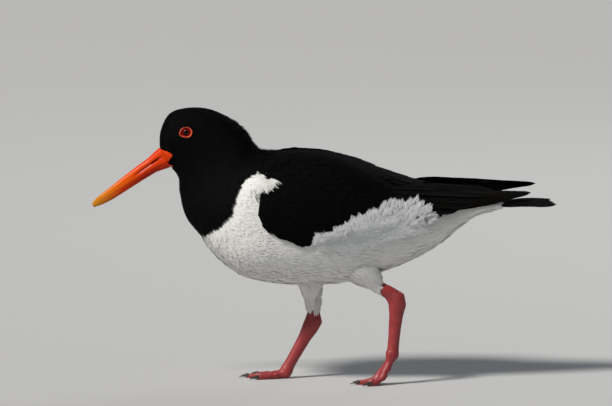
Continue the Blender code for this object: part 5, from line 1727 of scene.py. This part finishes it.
def make_claws(side_name, material):
    """The claws, smoothed from the solids' faceted ones."""
    nodes = ["claw_%s_%s" % (side_name, toe) for toe in ("inner", "middle", "outer")]
    claws = pick(copy_of_solids("claws_" + side_name, nodes))
    modifier = claws.modifiers.new("rounded", "SUBSURF")
    modifier.levels = modifier.render_levels = 2
    bpy.ops.object.modifier_apply(modifier=modifier.name)
    bpy.ops.object.shade_smooth()
    points = coordinates(claws)
    boxes = [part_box(node) for node in nodes]
    for low, high in boxes:
        inside = np.all((points > np.array(low) - 1e-4) & (points < np.array(high) + 1e-4), axis=1)
        claw = points[inside]
        order = np.argsort(claw[:, 0])
        tip, root = claw[order[:12]].mean(0), claw[order[-12:]].mean(0)
        way = unit(root - tip)
        run = (claw - tip) @ way
        share = run / run.max()
        centre = tip + run[:, None] * way
        bent = np.array([claw[np.abs(share - place) < 0.12].mean(0) for place in share])
        bent = centre + (bent - centre) - ((bent - centre) @ way)[:, None] * way
        rooted = (2.6 * MM * ease((share - 0.55) / 0.45))[:, None] * way
        points[inside] = bent + (claw - bent) * (1 + 0.5 * share)[:, None] + rooted
    points[:, 2] = np.maximum(points[:, 2], 0.05 * MM)
    move_to(claws, points)
    claws.data.materials.append(material)
    finish_piece(claws, "claw", *nodes)


def make_legs(settings):
    skin = bare_skin_material("leg_scales", settings.leg, settings.leg_dark, settings.leg_light,
                              0.50, 950.0, 0.00006)
    horn = claw_material("claw_horn", (0.012, 0.010, 0.009), (0.07, 0.05, 0.04))
    for side_name, side in SIDES.items():
        make_leg(side_name, side, skin)
        make_claws(side_name, horn)


# Stage.

CAMERA_TARGET = (-0.015, 0.0, 0.1584)
CAMERA_DISTANCE = 4.49
CAMERA_HEIGHT_ANGLE = 6.0
CAMERA_LENS = 300.0


def add_area_light(name, direction, distance, size, power, colour):
    deselect_all()
    target = Vector((0.0, 0.0, 0.14))
    place = target + Vector(direction).normalized() * distance
    bpy.ops.object.light_add(type="AREA", location=place)
    light = bpy.context.active_object
    light.name = name
    light.rotation_euler = (target - place).to_track_quat("-Z", "Y").to_euler()
    light.data.size = size
    light.data.energy = power
    light.data.color = colour


def make_stage(settings):
    deselect_all()
    bpy.ops.mesh.primitive_circle_add(vertices=96, radius=40.0, fill_type="NGON")
    floor = bpy.context.active_object
    floor.name = "studio_floor"
    floor.data.materials.append(floor_material("pale_floor", settings.floor))
    world = bpy.data.worlds.new("studio")
    bpy.context.scene.world = world
    world.use_nodes = True
    world.node_tree.nodes["Background"].inputs["Color"].default_value = (0.80, 0.86, 0.95, 1.0)
    world.node_tree.nodes["Background"].inputs["Strength"].default_value = settings.fill
    deselect_all()
    bpy.ops.object.light_add(type="SUN")
    key = bpy.context.active_object
    key.name = "key"
    key.rotation_euler = Vector((-0.57, -0.44, 0.69)).to_track_quat("Z", "Y").to_euler()
    key.data.angle = math.radians(12.0)
    key.data.energy = settings.key
    key.data.color = (1.0, 0.97, 0.93)
    add_area_light("rim", (0.55, 0.75, 0.7), 2.6, 1.2, settings.rim, (0.92, 0.96, 1.0))
    bpy.context.scene.view_settings.view_transform = "Standard"
    angle = math.radians(CAMERA_HEIGHT_ANGLE)
    target = Vector(CAMERA_TARGET)
    place = target + Vector((0.0, -math.cos(angle), math.sin(angle))) * CAMERA_DISTANCE
    bpy.ops.object.camera_add(location=place)
    camera = bpy.context.active_object
    camera.name = "camera"
    camera.rotation_euler = (target - place).to_track_quat("-Z", "Y").to_euler()
    camera.data.lens = CAMERA_LENS
    camera.data.sensor_width = 36.0
    bpy.context.scene.camera = camera


# Settings, operators and panel.


def colour_property(name, description, default):
    return FloatVectorProperty(name=name, description=description, default=default, size=3, min=0.0, max=1.0,
                               subtype="COLOR")


class PlumageSettings(bpy.types.PropertyGroup):
    """Sizes and colours of skin and feathers."""

    depth: FloatProperty(name="Coat depth", description="Depth of the skin under the outline, as a factor",
                         default=1.0, min=0.3, max=1.5, subtype="FACTOR")
    cover: FloatProperty(name="Cover", description="How many times over the tufts cover the skin",
                         default=13.0, min=2.0, max=20.0)
    dark: colour_property("Dark skin", "Skin under the black feathers", (0.004, 0.004, 0.005))
    black: colour_property("Black", "Black body feathers", (0.0005, 0.0005, 0.0006))
    black_light: colour_property("Black, light", "Lightest tone of the black feathers", (0.0014, 0.0014, 0.0017))
    black_tip: colour_property("Black tips", "Tips of the black feathers", (0.0026, 0.0026, 0.0030))
    fringe: colour_property("Covert fringe", "Edges of the black coverts", (0.0060, 0.0058, 0.0056))
    quill: colour_property("Flight feathers", "Flight feathers", (0.0007, 0.0006, 0.0006))
    quill_light: colour_property("Flight feathers, light", "Lightest tone of the flight feathers",
                                 (0.0015, 0.0013, 0.0012))
    quill_fringe: colour_property("Flight feather edges", "Edges of the flight feathers", (0.0070, 0.0058, 0.0048))
    # The white feathers' roots are painted darker than their tips, as shade under the feathers over them.
    white: colour_property("White", "White feathers", (0.62, 0.62, 0.60))
    white_light: colour_property("White, light", "Lightest tone of the white feathers", (0.78, 0.77, 0.74))
    white_tip: colour_property("White tips", "Tips of the white feathers", (0.88, 0.88, 0.86))
    # The wing bar's colours are painted greyer and bluer than the white feathers' colours, as shade on the bar.
    bar_white_shaded: colour_property("Wing bar", "White bar on the wing", (0.52, 0.53, 0.54))
    bar_light_shaded: colour_property("Wing bar, light", "Lightest tone of the wing bar", (0.70, 0.71, 0.72))


class BareSettings(bpy.types.PropertyGroup):
    """Colours of bill, eyes and legs."""

    bill_root: colour_property("Bill root", "Bill next to the feathers", (0.56, 0.036, 0.002))
    bill_lower: colour_property("Lower bill root", "First third of the lower mandible", (0.42, 0.018, 0.002))
    bill_base: colour_property("Bill base", "First third of the bill", (0.60, 0.045, 0.001))
    bill_middle: colour_property("Bill middle", "Middle of the bill", (0.62, 0.105, 0.001))
    bill_tip: colour_property("Bill tip", "Tip of the bill", (0.46, 0.23, 0.010))
    iris: colour_property("Iris", "Outer iris", (0.22, 0.003, 0.010))
    pupil: FloatProperty(name="Pupil", description="Radius of the pupil in millimetres", default=2.1,
                         min=1.0, max=3.5)
    eye_ring: colour_property("Eye ring", "Bare ring round the eye", (0.62, 0.055, 0.005))
    eye_ring_light: colour_property("Eye ring, light", "Lightest tone of the eye ring", (0.74, 0.10, 0.012))
    leg: colour_property("Legs", "Skin of the legs", (0.21, 0.008, 0.011))
    leg_light: colour_property("Legs, light", "Lightest tone of the legs", (0.36, 0.034, 0.034))
    # The legs' dark colour colours the seams between the scales, and paints shade in the creases and grooves.
    leg_dark: colour_property("Legs, dark", "Seams between the scales", (0.09, 0.003, 0.006))


class StageSettings(bpy.types.PropertyGroup):
    """Floor and light."""

    floor: colour_property("Floor", "Colour of the floor", (0.47, 0.47, 0.465))
    key: FloatProperty(name="Key light", description="Strength of the main light", default=4.1, min=0.0)
    rim: FloatProperty(name="Rim light", description="Power of the light from behind in watts", default=9.0,
                       min=0.0)
    fill: FloatProperty(name="Fill", description="Strength of the light from all round", default=0.22, min=0.0)


class OYSTERCATCHER_OT_skin(bpy.types.Operator):
    """Lay one skin under the plumage"""

    bl_idname = "oystercatcher.skin"
    bl_label = "Skin"

    def execute(self, context):
        make_skin(context.scene.plumage)
        return {"FINISHED"}


class OYSTERCATCHER_OT_dark_coat(bpy.types.Operator):
    """Feather head, neck and shoulders"""

    bl_idname = "oystercatcher.dark_coat"
    bl_label = "Black feathers"

    def execute(self, context):
        make_dark_coat(context.scene.plumage)
        return {"FINISHED"}


class OYSTERCATCHER_OT_white_coat(bpy.types.Operator):
    """Feather breast, belly and flanks"""

    bl_idname = "oystercatcher.white_coat"
    bl_label = "White feathers"

    def execute(self, context):
        make_white_coat(context.scene.plumage)
        return {"FINISHED"}


class OYSTERCATCHER_OT_thigh_coats(bpy.types.Operator):
    """Feather both thighs"""

    bl_idname = "oystercatcher.thigh_coats"
    bl_label = "Thigh feathers"

    def execute(self, context):
        make_thigh_coats(context.scene.plumage)
        return {"FINISHED"}


class OYSTERCATCHER_OT_wings(bpy.types.Operator):
    """Lay coverts, bar and flight feathers"""

    bl_idname = "oystercatcher.wings"
    bl_label = "Wings and back"

    def execute(self, context):
        make_wings(context.scene.plumage)
        return {"FINISHED"}


class OYSTERCATCHER_OT_tail(bpy.types.Operator):
    """Fan the tail feathers"""

    bl_idname = "oystercatcher.tail"
    bl_label = "Tail"

    def execute(self, context):
        make_tail(context.scene.plumage)
        return {"FINISHED"}


class OYSTERCATCHER_OT_bill(bpy.types.Operator):
    """Model both mandibles"""

    bl_idname = "oystercatcher.bill"
    bl_label = "Bill"

    def execute(self, context):
        make_bill(context.scene.bare)
        return {"FINISHED"}


class OYSTERCATCHER_OT_eyes(bpy.types.Operator):
    """Model eyeballs and eye rings"""

    bl_idname = "oystercatcher.eyes"
    bl_label = "Eyes"

    def execute(self, context):
        make_eyes(context.scene.bare)
        return {"FINISHED"}


class OYSTERCATCHER_OT_legs(bpy.types.Operator):
    """Model shanks, feet and claws"""

    bl_idname = "oystercatcher.legs"
    bl_label = "Legs"

    def execute(self, context):
        make_legs(context.scene.bare)
        return {"FINISHED"}


class OYSTERCATCHER_OT_stage(bpy.types.Operator):
    """Lay the floor and set light and camera"""

    bl_idname = "oystercatcher.stage"
    bl_label = "Stage"

    def execute(self, context):
        make_stage(context.scene.stage)
        return {"FINISHED"}


OPERATORS = [
    OYSTERCATCHER_OT_skin, OYSTERCATCHER_OT_dark_coat, OYSTERCATCHER_OT_white_coat,
    OYSTERCATCHER_OT_thigh_coats, OYSTERCATCHER_OT_wings, OYSTERCATCHER_OT_tail, OYSTERCATCHER_OT_bill,
    OYSTERCATCHER_OT_eyes, OYSTERCATCHER_OT_legs, OYSTERCATCHER_OT_stage,
]


class OYSTERCATCHER_PT_panel(bpy.types.Panel):
    """Lists the steps that dress the oystercatcher."""

    bl_label = "Oystercatcher"
    bl_idname = "OYSTERCATCHER_PT_panel"
    bl_space_type = "VIEW_3D"
    bl_region_type = "UI"
    bl_category = "Oystercatcher"

    def draw(self, context):
        for operator in OPERATORS:
            self.layout.operator(operator.bl_idname)


CLASSES = [PlumageSettings, BareSettings, StageSettings, *OPERATORS, OYSTERCATCHER_PT_panel]
SETTINGS = {"plumage": PlumageSettings, "bare": BareSettings, "stage": StageSettings}


def register():
    for each in CLASSES:
        bpy.utils.register_class(each)
    for name, group in SETTINGS.items():
        setattr(bpy.types.Scene, name, PointerProperty(type=group))


def unregister():
    for name in SETTINGS:
        delattr(bpy.types.Scene, name)
    for each in reversed(CLASSES):
        bpy.utils.unregister_class(each)


def main():
    register()
    steps = bpy.ops.oystercatcher
    steps.skin()
    steps.dark_coat()
    steps.white_coat()
    steps.thigh_coats()
    steps.wings()
    steps.tail()
    steps.bill()
    steps.eyes()
    steps.legs()
    steps.stage()


if __name__ == "__main__":
    main()
